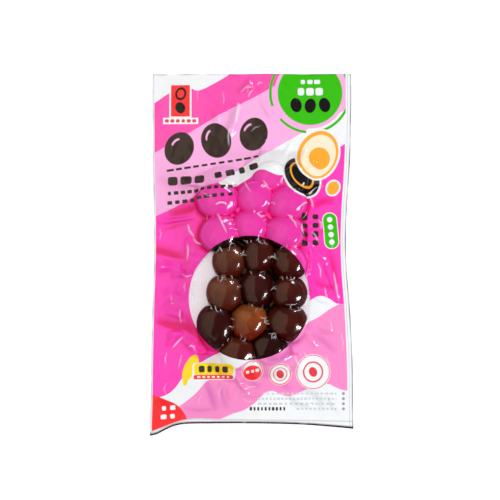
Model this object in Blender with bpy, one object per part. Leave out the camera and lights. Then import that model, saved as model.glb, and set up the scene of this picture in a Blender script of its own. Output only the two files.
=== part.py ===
"""Shut vacuum pack of small dark braised eggs, lying flat with its round window up.

Metres, +Z up. The origin is on the table under the middle of the pack, +Y runs along its
length and +X across it. The printed pack is one solid whose two films follow the eggs. Its
window is cut down to the level at which the films meet, with a pocket for each egg that shows
there, and each of those eggs is a solid of its own.
"""
import math
from typing import NamedTuple

import bmesh
import bpy
from mathutils import Vector

MM = 0.001

# Pack, in plan
PACK_WIDTH = 120 * MM
PACK_LENGTH = 216 * MM
LEFT_WAIST = 1.5 * MM
RIGHT_WAIST = 3.8 * MM
WAIST_AT = 6 * MM
WAIST_REACH = 44 * MM
BOTTOM_DRAW = 6.6 * MM
BOTTOM_DRAW_RIGHT = 3.4 * MM
CORNER_REACH = 11 * MM

# Films
FILM = 0.5 * MM
SEAL = 0.8 * MM
EGG_GAP = 0.4 * MM
CONTACT = math.radians(60)
BLEND = 1.5 * MM
MARGIN_HIGH = 5.4 * MM
MARGIN_LOW = 1.3 * MM
MARGIN_FALL = 9 * MM
WAVE_HEIGHT = 0.5 * MM
WAVE_LENGTH = 41 * MM
CORNER_LIFT = 4.5 * MM

# Round window
WINDOW_X = -1.7 * MM
WINDOW_Y = -27.2 * MM
WINDOW_RADIUS = 36 * MM
WINDOW_STEP = 0.3 * MM
WINDOW_SIDES = 72
WINDOW_RINGS = 8
CUT_TOP = 40 * MM

# Fineness of the meshes
EGG_FIELD_X = 36 * MM
EGG_FIELD_LOW = -73 * MM
EGG_FIELD_HIGH = 57 * MM
FIELD_STEP = 3.4 * MM
MARGIN_STEP = 8 * MM
EGG_SEGMENTS = 14
EGG_RINGS = 9
PRESS = 14

# How far the blunt end of an egg is wider than its middle, as a share
TAPER = 0.06


class Egg(NamedTuple):
    """An egg by its middle, its three lengths in mm and the turn of its long axis from +X."""

    x: float
    y: float
    long: float
    wide: float
    tall: float
    turn: float

    def middle(self):
        """The egg's middle, with the back film and the gap under it."""
        return Vector((self.x * MM, self.y * MM, self.tall * MM / 2 + FILM + EGG_GAP / 2))

    def local(self, x, y):
        """A plan offset from the middle, along and across the egg's long axis."""
        angle = math.radians(self.turn)
        dx = x - self.x * MM
        dy = y - self.y * MM
        along = dx * math.cos(angle) + dy * math.sin(angle)
        across = dy * math.cos(angle) - dx * math.sin(angle)
        return along, across

    def reach(self, direction):
        """Distance from the middle to the surface along a unit vector."""
        angle = math.radians(self.turn)
        along = direction.x * math.cos(angle) + direction.y * math.sin(angle)
        across = direction.y * math.cos(angle) - direction.x * math.sin(angle)
        scaled = Vector((along / self.long, across / self.wide, direction.z / self.tall))
        return MM / (2 * scaled.length)


# Eggs that show in the window, by rows from the top
SEEN_EGGS = (
    Egg(-19.1, 10.4, 22.5, 21.0, 19.0, 20),
    Egg(-0.9, 15.1, 20.0, 19.5, 18.4, 0),
    Egg(19.1, 11.0, 22.5, 20.0, 18.8, -10),
    Egg(-13.3, -6.1, 20.5, 19.0, 18.6, 80),
    Egg(3.8, -2.5, 22.5, 18.5, 18.8, 78),
    Egg(21.5, -6.1, 21.5, 18.8, 18.6, -48),
    Egg(-15.9, -24.9, 22.5, 20.5, 19.0, 88),
    Egg(2.7, -22.0, 23.0, 19.0, 19.2, 90),
    Egg(21.5, -24.6, 20.5, 19.5, 18.8, 15),
    Egg(-21.2, -43.8, 25.5, 21.0, 19.2, 93),
    Egg(-1.8, -41.4, 22.5, 21.0, 19.4, 70),
    Egg(20.3, -41.4, 23.0, 21.5, 19.0, -20),
    Egg(-8.0, -59.1, 21.0, 19.0, 18.4, 10),
    Egg(10.0, -56.1, 21.0, 19.0, 18.6, -12),
)

# Eggs wholly under the print, which only raise the film
HIDDEN_EGGS = (
    Egg(-20.3, 30.5, 24.0, 20.5, 18.8, 4),
    Egg(1.5, 31.6, 21.0, 20.0, 19.0, 0),
    Egg(20.6, 28.1, 22.0, 19.5, 18.8, 12),
    Egg(10.6, 44.0, 19.0, 17.5, 16.6, 0),
    Egg(25.0, 42.8, 18.0, 17.0, 16.2, 0),
)
EGGS = SEEN_EGGS + HIDDEN_EGGS


def material(name, colour, roughness):
    """A plain Principled material."""
    made = bpy.data.materials.new(name)
    made.use_nodes = True
    shader = made.node_tree.nodes["Principled BSDF"]
    shader.inputs["Base Color"].default_value = (*colour, 1.0)
    shader.inputs["Roughness"].default_value = roughness
    shader.inputs["Metallic"].default_value = 0.0
    return made


def add_object(name, mesh, finish=None):
    """Link a finished bmesh to the scene as a named object, shaded smooth."""
    data = bpy.data.meshes.new(name)
    mesh.to_mesh(data)
    mesh.free()
    data.shade_smooth()
    made = bpy.data.objects.new(name, data)
    bpy.context.scene.collection.objects.link(made)
    if finish is not None:
        data.materials.append(finish)
    return made


def smooth_max(a, b):
    """The larger of two heights, rounded where they meet."""
    near = max(BLEND - abs(a - b), 0.0) / BLEND
    return max(a, b) + near * near * BLEND / 4


def margin_height(x, y):
    """Height of the joined films, which stand off the table beside the eggs."""
    outside = PACK_LENGTH
    for egg in EGGS:
        along, across = egg.local(x, y)
        share = math.hypot(along / (egg.long * MM / 2), across / (egg.wide * MM / 2))
        outside = min(outside, (share - 1) * (egg.long + egg.wide) * MM / 4)
    fall = math.exp(-max(outside, 0.0) / MARGIN_FALL)
    height = MARGIN_LOW + (MARGIN_HIGH - MARGIN_LOW) * fall
    side = (2 * x / PACK_WIDTH) ** 2 * math.sin(2 * math.pi * y / WAVE_LENGTH)
    end = (2 * y / PACK_LENGTH) ** 4 * math.sin(2 * math.pi * x / WAVE_LENGTH)
    corner = math.hypot(x + PACK_WIDTH / 2, y + PACK_LENGTH / 2)
    lift = CORNER_LIFT * math.exp(-((corner / (1.6 * CORNER_REACH)) ** 2))
    return height + WAVE_HEIGHT * (side + end) * (1 - fall) + lift


def dome(egg, x, y):
    """Rise of the film over an egg's middle: round in the middle, straight down its sides."""
    along, across = egg.local(x, y)
    skin = FILM + EGG_GAP
    share = math.hypot(along / (egg.long * MM / 2 + skin), across / (egg.wide * MM / 2 + skin))
    rise = egg.tall * MM / 2 + skin
    leave = math.sin(CONTACT)
    if share < leave:
        return rise * math.sqrt(1 - share * share)
    return rise * (math.cos(CONTACT) - math.tan(CONTACT) * (share - leave))


def front_height(x, y):
    """Outer face of the front film."""
    height = margin_height(x, y) + SEAL / 2
    for egg in EGGS:
        height = smooth_max(height, egg.middle().z + dome(egg, x, y))
    return height


def back_height(x, y):
    """Outer face of the back film, flat where an egg rests on the table."""
    depth = SEAL / 2 - margin_height(x, y)
    for egg in EGGS:
        depth = smooth_max(depth, dome(egg, x, y) - egg.middle().z)
    return max(-depth, 0.0)


def field_lines(low, field_low, field_high, high):
    """Grid lines from low to high, close over the eggs and wide in the margins."""
    lines = []
    for start, end, step in (
        (low, field_low, MARGIN_STEP),
        (field_low, field_high, FIELD_STEP),
        (field_high, high, MARGIN_STEP),
    ):
        count = max(1, round((end - start) / step))
        lines += [start + (end - start) * i / count for i in range(count)]
    return lines + [high]


def drawn_in(x, y):
    """A point of the flat pack, moved to where the eggs draw the film's edges in."""
    waist = math.exp(-(((y - WAIST_AT) / WAIST_REACH) ** 2))
    side = LEFT_WAIST if x < 0 else RIGHT_WAIST
    new_x = x * (1 - side * waist * 2 / PACK_WIDTH)
    corner = math.exp(-(((x + PACK_WIDTH / 2) / CORNER_REACH) ** 2))
    towards_right = max(x, 0.0) * 2 / PACK_WIDTH
    draw = BOTTOM_DRAW + (BOTTOM_DRAW_RIGHT - BOTTOM_DRAW) * towards_right**2
    low_end = max(-2 * y / PACK_LENGTH, 0.0) ** 3
    return new_x, y + draw * (1 - corner) * low_end


def pack_body():
    """The two films as one closed solid, from a grid that is extruded down to the back."""
    lines_x = field_lines(-PACK_WIDTH / 2, -EGG_FIELD_X, EGG_FIELD_X, PACK_WIDTH / 2)
    lines_y = field_lines(-PACK_LENGTH / 2, EGG_FIELD_LOW, EGG_FIELD_HIGH, PACK_LENGTH / 2)
    columns = len(lines_x) - 1
    rows = len(lines_y) - 1
    mesh = bmesh.new()
    bmesh.ops.create_grid(mesh, x_segments=columns, y_segments=rows, size=1)
    for vert in mesh.verts:
        column = round((vert.co.x + 1) / 2 * columns)
        row = round((vert.co.y + 1) / 2 * rows)
        vert.co.xy = drawn_in(lines_x[column], lines_y[row])
    made = bmesh.ops.extrude_face_region(mesh, geom=mesh.faces[:])
    top = {item for item in made["geom"] if isinstance(item, bmesh.types.BMVert)}
    for vert in mesh.verts:
        height = front_height if vert in top else back_height
        vert.co.z = height(vert.co.x, vert.co.y)
    bmesh.ops.triangulate(mesh, faces=mesh.faces[:])
    bmesh.ops.recalc_face_normals(mesh, faces=mesh.faces[:])
    return mesh


def window_cut():
    """A round plug from above the pack down to the level at which the two films meet."""
    mesh = bmesh.new()
    bmesh.ops.create_circle(mesh, segments=WINDOW_SIDES, radius=WINDOW_RADIUS)
    rim = bmesh.ops.extrude_edge_only(mesh, edges=mesh.edges[:])["geom"]
    bmesh.ops.translate(
        mesh, vec=(0, 0, CUT_TOP), verts=[v for v in rim if isinstance(v, bmesh.types.BMVert)]
    )
    bmesh.ops.contextual_create(mesh, geom=[e for e in rim if isinstance(e, bmesh.types.BMEdge)])
    ring = [e for e in mesh.edges if all(v.co.z < CUT_TOP / 2 for v in e.verts)]
    for step in range(1, WINDOW_RINGS):
        new = bmesh.ops.extrude_edge_only(mesh, edges=ring)["geom"]
        verts = [v for v in new if isinstance(v, bmesh.types.BMVert)]
        shrink = (WINDOW_RINGS - step) / (WINDOW_RINGS - step + 1)
        bmesh.ops.scale(mesh, vec=(shrink, shrink, 1), verts=verts)
        ring = [e for e in new if isinstance(e, bmesh.types.BMEdge)]
    bmesh.ops.contextual_create(mesh, geom=ring)
    bmesh.ops.poke(mesh, faces=[f for f in mesh.faces if len(f.verts) > 4])
    bmesh.ops.translate(mesh, vec=(WINDOW_X, WINDOW_Y, 0), verts=mesh.verts[:])
    for vert in mesh.verts:
        if vert.co.z < CUT_TOP / 2:
            vert.co.z = margin_height(vert.co.x, vert.co.y) + SEAL / 2 - WINDOW_STEP
    bmesh.ops.triangulate(mesh, faces=mesh.faces[:])
    bmesh.ops.recalc_face_normals(mesh, faces=mesh.faces[:])
    return mesh


def pressed(egg, point):
    """Pull a point of an egg's own form back from its neighbours, which flatten it."""
    total = 1.0
    for other in EGGS:
        between = other.middle() - egg.middle()
        apart = between.length
        if other is egg or apart > (egg.long + other.long) * MM / 2:
            continue
        towards = between / apart
        mine = egg.reach(towards)
        theirs = other.reach(towards)
        limit = (apart * apart + mine * mine - theirs * theirs) / (2 * apart) - EGG_GAP / 2
        part = point.dot(towards) / limit
        if part > 0:
            total += part**PRESS
    return point / total ** (1 / PRESS)


def egg_point(egg, unit, skin=0.0):
    """A point of the egg's own form, from its middle, for a point of the unit sphere."""
    angle = math.radians(egg.turn)
    blunt = 1 + TAPER * unit.x
    along = unit.x * (egg.long * MM / 2 + skin)
    across = unit.y * (egg.wide * MM / 2 + skin) * blunt
    return Vector(
        (
            along * math.cos(angle) - across * math.sin(angle),
            along * math.sin(angle) + across * math.cos(angle),
            unit.z * (egg.tall * MM / 2 + skin),
        )
    )


def round_mesh():
    """A unit sphere with the eggs' fineness."""
    mesh = bmesh.new()
    bmesh.ops.create_uvsphere(
        mesh, u_segments=EGG_SEGMENTS, v_segments=EGG_RINGS, radius=1, calc_uvs=False
    )
    return mesh


def egg_body(egg):
    """An egg as a closed round form, flattened by its neighbours."""
    mesh = round_mesh()
    for vert in mesh.verts:
        vert.co = egg.middle() + pressed(egg, egg_point(egg, vert.co))
    return mesh


def egg_cut(egg):
    """The space that an egg sits in: its form before it is pressed, with the gap round it."""
    mesh = round_mesh()
    for vert in mesh.verts:
        vert.co = egg.middle() + egg_point(egg, vert.co, EGG_GAP)
    return mesh


def build():
    """Make the pack and the eggs that show in its window."""
    printed = material("printed_film", (0.90, 0.10, 0.45), 0.25)
    braised = material("braised_egg", (0.07, 0.03, 0.02), 0.35)
    pack = add_object("pouch", pack_body(), printed)

    cuts = bpy.data.collections.new("window_cuts")
    bpy.context.scene.collection.children.link(cuts)
    cutters = [add_object("cut_window", window_cut())]
    for number, egg in enumerate(SEEN_EGGS, start=1):
        add_object(f"egg_{number:02d}", egg_body(egg), braised)
        cutters.append(add_object(f"cut_egg_{number:02d}", egg_cut(egg)))
    for cutter in cutters:
        bpy.context.scene.collection.objects.unlink(cutter)
        cuts.objects.link(cutter)
        cutter.hide_render = True
        cutter.display_type = "WIRE"

    opening = pack.modifiers.new("window", "BOOLEAN")
    opening.operation = "DIFFERENCE"
    opening.solver = "EXACT"
    opening.operand_type = "COLLECTION"
    opening.collection = cuts
    opening.use_self = True


for old in list(bpy.data.objects):
    bpy.data.objects.remove(old)
build()
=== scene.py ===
"""Visual model of a shut vacuum pack of small dark braised eggs, lying flat, window side up.

The printed film, the clear window in it, the back film and the eggs that show are modelled
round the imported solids, in their frame: metres, +Z up, +Y along the pack. Sizes in the classes
are millimetres, and each class turns them into metres when it makes its mesh.
"""
from __future__ import annotations

import logging
import math
from dataclasses import dataclass
from enum import Enum

import bmesh
import bpy
import numpy as np
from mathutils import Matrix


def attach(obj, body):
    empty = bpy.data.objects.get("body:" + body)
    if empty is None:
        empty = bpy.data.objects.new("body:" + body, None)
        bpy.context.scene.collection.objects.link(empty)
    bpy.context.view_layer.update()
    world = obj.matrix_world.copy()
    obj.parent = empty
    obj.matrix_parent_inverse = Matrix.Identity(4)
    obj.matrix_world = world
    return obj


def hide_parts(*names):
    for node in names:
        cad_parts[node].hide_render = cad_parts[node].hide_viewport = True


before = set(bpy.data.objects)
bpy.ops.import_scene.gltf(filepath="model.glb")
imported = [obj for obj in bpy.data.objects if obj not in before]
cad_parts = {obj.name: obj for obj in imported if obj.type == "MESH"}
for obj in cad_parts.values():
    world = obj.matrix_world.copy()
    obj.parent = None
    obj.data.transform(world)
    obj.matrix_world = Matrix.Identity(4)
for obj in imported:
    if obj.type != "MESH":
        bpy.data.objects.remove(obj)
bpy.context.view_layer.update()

MM = 0.001
BODY = "root"

# How far the blunt end of an egg is wider than its middle, as a share
TAPER = 0.06

# The film's own UV map, and its attributes: each is a share from 0 to 1 at every vertex
SHEET_MAP = "sheet"
ON_EGG = "on_egg"
# Painted shade: how far the film's inks darken in its hollows, folds and upper flanks
PAINTED_SHADE = "hollow"
PLEAT = "pleat"
# Dark braising liquid and painted shade in the pits between the eggs
JUICE = "juice"

# Half the height in mm that the curve of a printed edge can span
EDGE_SPAN = 112.0

Array = np.ndarray
Point = tuple[float, float]
Colour = tuple[float, float, float]

log = logging.getLogger("egg_pack")


def linear(red: int, green: int, blue: int) -> Colour:
    """A display colour of 0 to 255 as the linear colour that a shader takes.

    Args:
        red: Red of the display colour.
        green: Green of the display colour.
        blue: Blue of the display colour.

    Returns:
        The three linear parts, each from 0 to 1.
    """
    parts = []
    for part in (red, green, blue):
        share = part / 255
        low = share / 12.92
        high = ((share + 0.055) / 1.055) ** 2.4
        parts.append(low if share <= 0.04045 else high)
    return tuple(parts)


def ramp(value: Array, start: float, width: float) -> Array:
    """A share that rises from 0 at the start to 1 over the width."""
    return np.clip((value - start) / width, 0, 1)


class EggTone(Enum):
    """Skin colours of the braised eggs; the darkest is also painted shade on the three eggs at the
    window's top, which lie partly under the printed film.
    """

    COCOA = linear(92, 46, 29)
    RUSSET = linear(70, 18, 7)
    WINE = linear(55, 11, 11)
    BURGUNDY = linear(54, 7, 3)
    AMBER = linear(130, 64, 22)
    MAHOGANY = linear(76, 20, 5)
    NIGHT = linear(40, 4, 2)


class Ink(Enum):
    """Colours printed on the front film."""

    WHITE = linear(238, 240, 239)
    DEEP_PINK = linear(250, 78, 170)
    LIGHT_PINK = linear(248, 172, 220)
    HOT_PINK = linear(254, 60, 180)
    BLUSH = linear(247, 138, 196)
    RED = linear(246, 44, 48)
    GREEN = linear(54, 188, 0)
    CHOCOLATE = linear(58, 44, 38)
    BLACK = linear(26, 22, 24)
    YELLOW = linear(252, 216, 14)
    ORANGE = linear(246, 168, 44)
    CREAM = linear(252, 232, 200)
    GHOST = linear(196, 208, 214)
    SEAL_RED = linear(226, 58, 66)
    # A painted shadow along the pack's edges, not a printed ink
    CUT_GREY = linear(26, 25, 28)
    SEAL_GREY = linear(166, 170, 172)
    DOT_GREY = linear(150, 156, 162)
    # Dark braising liquid and painted shade in the pits between the eggs, on the back film
    JUICE = linear(24, 7, 4)


class ShadedInk(Enum):
    """Painted shade: the inks of the large fields where the film dips into a hollow or a fold or
    turns down the heap's upper flanks, by the plain inks' names.
    """

    WHITE = linear(206, 209, 210)
    DEEP_PINK = linear(216, 30, 122)
    LIGHT_PINK = linear(226, 130, 188)
    HOT_PINK = linear(228, 4, 104)
    BLUSH = linear(212, 104, 176)
    RED = linear(196, 22, 26)


@dataclass(frozen=True)
class Egg:
    """An egg by its middle, its three lengths and its turn, as in the solids.

    The tone is its skin colour, and the fullness is the power of its rounding: 2 is an ellipse.
    """

    x: float
    y: float
    long: float
    wide: float
    tall: float
    turn: float
    tone: EggTone = EggTone.RUSSET
    fullness: float = 2.15

    def local(self, x: Array, y: Array) -> tuple[Array, Array]:
        """Plan offsets from the middle, along and across the long axis.

        Args:
            x: Plan positions across the pack.
            y: Plan positions along the pack.

        Returns:
            The offsets along and across.
        """
        angle = math.radians(self.turn)
        dx = x - self.x
        dy = y - self.y
        along = dx * math.cos(angle) + dy * math.sin(angle)
        across = dy * math.cos(angle) - dx * math.sin(angle)
        return along, across

    def gap(self, x: Array, y: Array) -> Array:
        """Rough distance in plan from the egg's outline, negative over the egg.

        Args:
            x: Plan positions across the pack.
            y: Plan positions along the pack.

        Returns:
            The distance at each position.
        """
        along, across = self.local(x, y)
        share = np.hypot(along / (self.long / 2), across / (self.wide / 2))
        return (share - 1) * (self.long + self.wide) / 4

    def reach(self, direction: Array) -> float:
        """Distance from the middle to the egg's surface along a unit vector.

        Args:
            direction: A unit vector.

        Returns:
            The distance.
        """
        along, across = self.local(self.x + direction[0], self.y + direction[1])
        scaled = (along / self.long, across / self.wide, direction[2] / self.tall)
        return 1 / (2 * math.hypot(*scaled))

    def middle(self, lift: float) -> Array:
        """The egg's middle, at half its height plus the lift above the table."""
        return np.array((self.x, self.y, self.tall / 2 + lift))


SEEN_EGGS = (
    # These three eggs lie partly under the printed film and take the darkest tone as painted shade
    Egg(-19.1, 10.4, 22.5, 21.0, 19.0, 20, EggTone.NIGHT, 2.5),
    Egg(-0.9, 15.1, 20.0, 19.5, 18.4, 0, EggTone.NIGHT, 2.5),
    Egg(19.1, 11.0, 22.5, 20.0, 18.8, -10, EggTone.NIGHT, 2.5),
    Egg(-13.3, -6.1, 20.5, 19.0, 18.6, 80, EggTone.COCOA),
    Egg(3.8, -2.5, 22.5, 18.5, 18.8, 78, EggTone.RUSSET),
    Egg(21.5, -6.1, 21.5, 18.8, 18.6, -48, EggTone.RUSSET),
    Egg(-15.9, -24.9, 22.5, 20.5, 19.0, 88, EggTone.COCOA),
    Egg(2.7, -22.0, 23.0, 19.0, 19.2, 90, EggTone.WINE),
    Egg(21.5, -24.6, 20.5, 19.5, 18.8, 15, EggTone.RUSSET),
    Egg(-21.2, -43.8, 25.5, 21.0, 19.2, 93, EggTone.BURGUNDY),
    Egg(-1.8, -41.4, 22.5, 21.0, 19.4, 70, EggTone.AMBER),
    Egg(20.3, -41.4, 23.0, 21.5, 19.0, -20, EggTone.RUSSET),
    Egg(-8.0, -59.1, 21.0, 19.0, 18.4, 10, EggTone.MAHOGANY),
    Egg(10.0, -56.1, 21.0, 19.0, 18.6, -12, EggTone.NIGHT),
)

HIDDEN_EGGS = (
    Egg(-20.3, 30.5, 24.0, 20.5, 18.8, 4, fullness=2.5),
    Egg(1.5, 31.6, 21.0, 20.0, 19.0, 0, fullness=2.5),
    Egg(20.6, 28.1, 22.0, 19.5, 18.8, 12, fullness=2.5),
    Egg(10.6, 44.0, 19.0, 17.5, 16.6, 0, fullness=2.5),
    Egg(25.0, 42.8, 18.0, 17.0, 16.2, 0, fullness=2.5),
)
EGGS = SEEN_EGGS + HIDDEN_EGGS


@dataclass(frozen=True)
class Fold:
    """A fold in the film: a ridge along its points, or a groove where the height is negative."""

    points: tuple[Point, ...]
    width: float
    height: float
    lean: float = 0.0
    power: float = 2.0

    def rise(self, x: Array, y: Array) -> Array:
        """Height that the fold adds to the film.

        Args:
            x: Plan positions across the pack.
            y: Plan positions along the pack.

        Returns:
            The added height at each position.
        """
        added = np.zeros_like(x)
        spots = np.array(self.points)
        reach = 4 * self.width
        near = (x > spots[:, 0].min() - reach) & (x < spots[:, 0].max() + reach)
        near &= (y > spots[:, 1].min() - reach) & (y < spots[:, 1].max() + reach)
        if not near.any():
            return added
        px, py = x[near], y[near]
        lengths = np.hypot(*np.diff(spots, axis=0).T)
        best = np.full(px.shape, np.inf)
        along = np.zeros_like(px)
        side = np.zeros_like(px)
        done = 0.0
        for start, end, length in zip(spots[:-1], spots[1:], lengths):
            ux, uy = (end - start) / length
            part = np.clip((px - start[0]) * ux + (py - start[1]) * uy, 0, length)
            dx = px - start[0] - part * ux
            dy = py - start[1] - part * uy
            far = np.hypot(dx, dy)
            closer = far < best
            best = np.where(closer, far, best)
            along = np.where(closer, (done + part) / lengths.sum(), along)
            side = np.where(closer, np.sign(ux * dy - uy * dx), side)
            done += length
        fade = np.sqrt(np.clip(np.sin(math.pi * along), 0, 1))
        share = best / (self.width * (1 + self.lean * side))
        added[near] = self.height * fade * np.exp(-(share**self.power))
        return added


def creases(*rows: tuple) -> tuple[Fold, ...]:
    """Sharp folds by their plan points, width and height, that lean to each side in turn.

    Args:
        rows: Each crease's plan points, then its width and its height.

    Returns:
        The folds.
    """
    folds = []
    for number, (*points, width, height) in enumerate(rows):
        lean = 0.2 if number % 2 else -0.2
        folds.append(Fold(tuple(points), width, height, lean, 1.6))
    return tuple(folds)


# Upright wrinkles of the clear film where it bridges from the window's edge to the eggs
CRESCENT_FOLDS = (
    Fold(((-33.0, -8.0), (-35.0, -18.0), (-35.6, -28.0)), 0.9, 0.6, 0.2, 1.7),
    Fold(((-31.0, -6.0), (-33.0, -14.0), (-33.8, -24.0)), 0.4, 0.38, -0.2, 1.7),
    Fold(((-29.0, -3.0), (-30.6, -10.0), (-31.4, -17.0)), 0.4, 0.45, 0.2, 1.7),
    Fold(((-34.4, -24.0), (-34.9, -34.0), (-34.0, -42.0)), 0.4, 0.4, -0.2, 1.7),
    Fold(((-32.2, -26.0), (-32.6, -31.0), (-32.0, -36.0)), 0.35, 0.36, 0.2, 1.7),
    Fold(((-29.6, -12.0), (-30.4, -19.0), (-30.0, -26.0)), 0.35, 0.34, 0.1, 1.7),
    Fold(((31.5, -10.0), (33.0, -18.0), (33.4, -27.0)), 0.4, 0.36, 0.2, 1.7),
)

# Sharp creases, along which the print is painted paler as a painted highlight
SHARP_CREASES = (
    Fold(((-8.2, 91.0), (-9.0, 84.0), (-9.8, 77.0)), 1.1, 0.7, 0.2, 1.8),
    Fold(((-7.4, 96.0), (-3.0, 100.0), (2.0, 99.0)), 0.6, 0.4, 0.2, 1.8),
    *creases(
        ((-38.4, 5.7), (-38.1, 0.3), (-38.7, -5.7), 0.5, 0.6),
        ((-42.0, -12.9), (-39.0, -14.7), (-35.4, -13.5), 0.5, 0.5),
        ((-42.6, -33.3), (-42.9, -37.5), (-42.0, -42.3), 0.5, 0.5),
        ((-47.4, -57.3), (-44.4, -53.7), (-40.8, -50.1), 0.5, 0.6),
        ((-37.8, -56.7), (-36.0, -55.2), (-34.2, -56.1), (-33.6, -58.5), 0.5, 0.6),
        ((-55.2, 14.7), (-54.6, 11.1), (-55.2, 6.9), 0.45, 0.4),
        ((-38.4, 17.1), (-37.2, 12.9), (-34.2, 8.7), 0.55, 0.7),
        ((-35.4, 8.7), (-33.0, 5.7), (-29.4, 3.9), 0.5, 0.6),
        ((-48.0, -24.3), (-48.0, -27.3), (-47.4, -30.3), 0.4, 0.35),
        ((-40.2, -17.7), (-40.5, -20.7), (-40.2, -23.7), 0.45, 0.45),
        ((-54.0, 27.9), (-49.2, 26.7), (-44.4, 27.3), 0.5, 0.4),
        ((-50.4, -58.5), (-51.6, -63.3), (-51.0, -68.1), 0.45, 0.4),
        ((-41.4, -59.7), (-42.6, -64.5), (-43.8, -70.5), 0.45, 0.45),
        ((-54.6, -9.3), (-53.4, -8.7), (-51.6, -9.3), 0.45, 0.45),
        ((-48.6, -30.3), (-47.4, -30.3), (-46.2, -30.9), 0.45, 0.4),
        ((-20.4, 22.5), (-18.0, 17.1), (-14.4, 9.9), 0.5, 0.6),
        ((-21.6, 26.7), (-18.6, 28.2), (-15.0, 27.9), 0.55, 0.7),
        ((-12.6, 38.7), (-9.6, 39.9), (-7.2, 38.7), 0.5, 0.5),
        ((-5.4, 43.5), (-3.0, 37.5), (0.0, 33.3), 0.45, 0.45),
        ((6.0, 41.7), (8.4, 38.7), (10.2, 35.1), 0.45, 0.5),
        ((2.4, 22.5), (5.4, 20.1), (8.4, 21.3), 0.5, 0.6),
        ((28.2, 26.1), (30.6, 27.9), (33.0, 29.1), 0.5, 0.6),
        ((21.0, 20.7), (24.6, 17.1), (26.4, 12.9), 0.45, 0.5),
        ((30.0, 18.3), (28.8, 13.5), (30.6, 8.7), 0.5, 0.5),
        ((34.2, 33.9), (36.0, 30.3), (36.6, 26.1), 0.5, 0.6),
        ((19.2, 45.3), (17.4, 42.3), (16.2, 39.3), 0.45, 0.5),
        ((-29.4, 34.5), (-25.8, 32.1), (-21.6, 32.1), 0.4, 0.4),
        ((-2.4, 93.3), (-1.2, 96.3), (1.2, 98.7), 0.5, 0.5),
        ((2.4, 101.1), (4.8, 102.9), (7.2, 102.3), 0.5, 0.45),
        ((-13.8, 75.9), (-14.4, 69.9), (-13.8, 63.3), 0.6, 0.5),
        ((-18.0, 98.7), (-16.8, 93.3), (-17.4, 87.9), 0.5, 0.35),
        ((-32.4, 100.5), (-33.0, 94.5), (-32.4, 89.1), 0.5, 0.3),
        ((-1.2, 72.3), (1.8, 75.3), (6.0, 76.5), 0.5, 0.35),
        ((48.6, -11.1), (49.8, -18.9), (51.6, -29.7), 0.5, 0.65),
        ((43.2, -20.1), (43.8, -23.7), (45.0, -28.5), 0.45, 0.5),
        ((39.0, -5.7), (40.8, -10.5), (40.8, -15.9), 0.5, 0.5),
        ((39.6, 20.1), (41.4, 17.1), (41.4, 12.9), 0.5, 0.5),
        ((47.4, 9.9), (48.6, 5.7), (47.4, 1.5), 0.45, 0.45),
        ((54.6, 26.7), (55.8, 19.5), (55.8, 12.3), 0.45, 0.4),
        ((35.4, 12.9), (37.8, 9.9), (39.6, 5.7), 0.5, 0.55),
        ((46.2, -38.7), (47.4, -44.1), (46.8, -48.9), 0.45, 0.4),
        ((52.8, -46.5), (54.0, -53.7), (53.4, -59.7), 0.45, 0.4),
        ((25.2, -60.9), (26.4, -64.5), (28.2, -68.1), 0.55, 0.65),
        ((20.4, -65.7), (21.6, -69.3), (21.0, -72.9), 0.5, 0.5),
        ((30.6, -58.5), (32.4, -62.1), (35.4, -64.5), 0.5, 0.45),
        ((-4.8, -78.3), (-1.2, -80.1), (3.6, -79.5), 0.5, 0.45),
        ((6.0, -83.1), (9.0, -84.3), (12.0, -83.1), 0.5, 0.5),
        ((-18.0, -78.3), (-19.8, -83.1), (-18.6, -87.9), 0.5, 0.4),
        ((-29.4, -83.7), (-31.8, -87.9), (-30.6, -92.1), 0.5, 0.35),
        ((35.4, -86.1), (39.0, -89.7), (39.6, -93.9), 0.5, 0.35),
        ((43.8, -59.7), (45.0, -64.5), (48.0, -68.1), 0.45, 0.4),
        ((-50.4, -76.5), (-52.2, -81.3), (-50.4, -86.1), 0.45, 0.35),
        ((-7.2, -85.5), (-3.0, -88.5), (2.4, -89.1), 0.45, 0.35),
    ),
)

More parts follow.
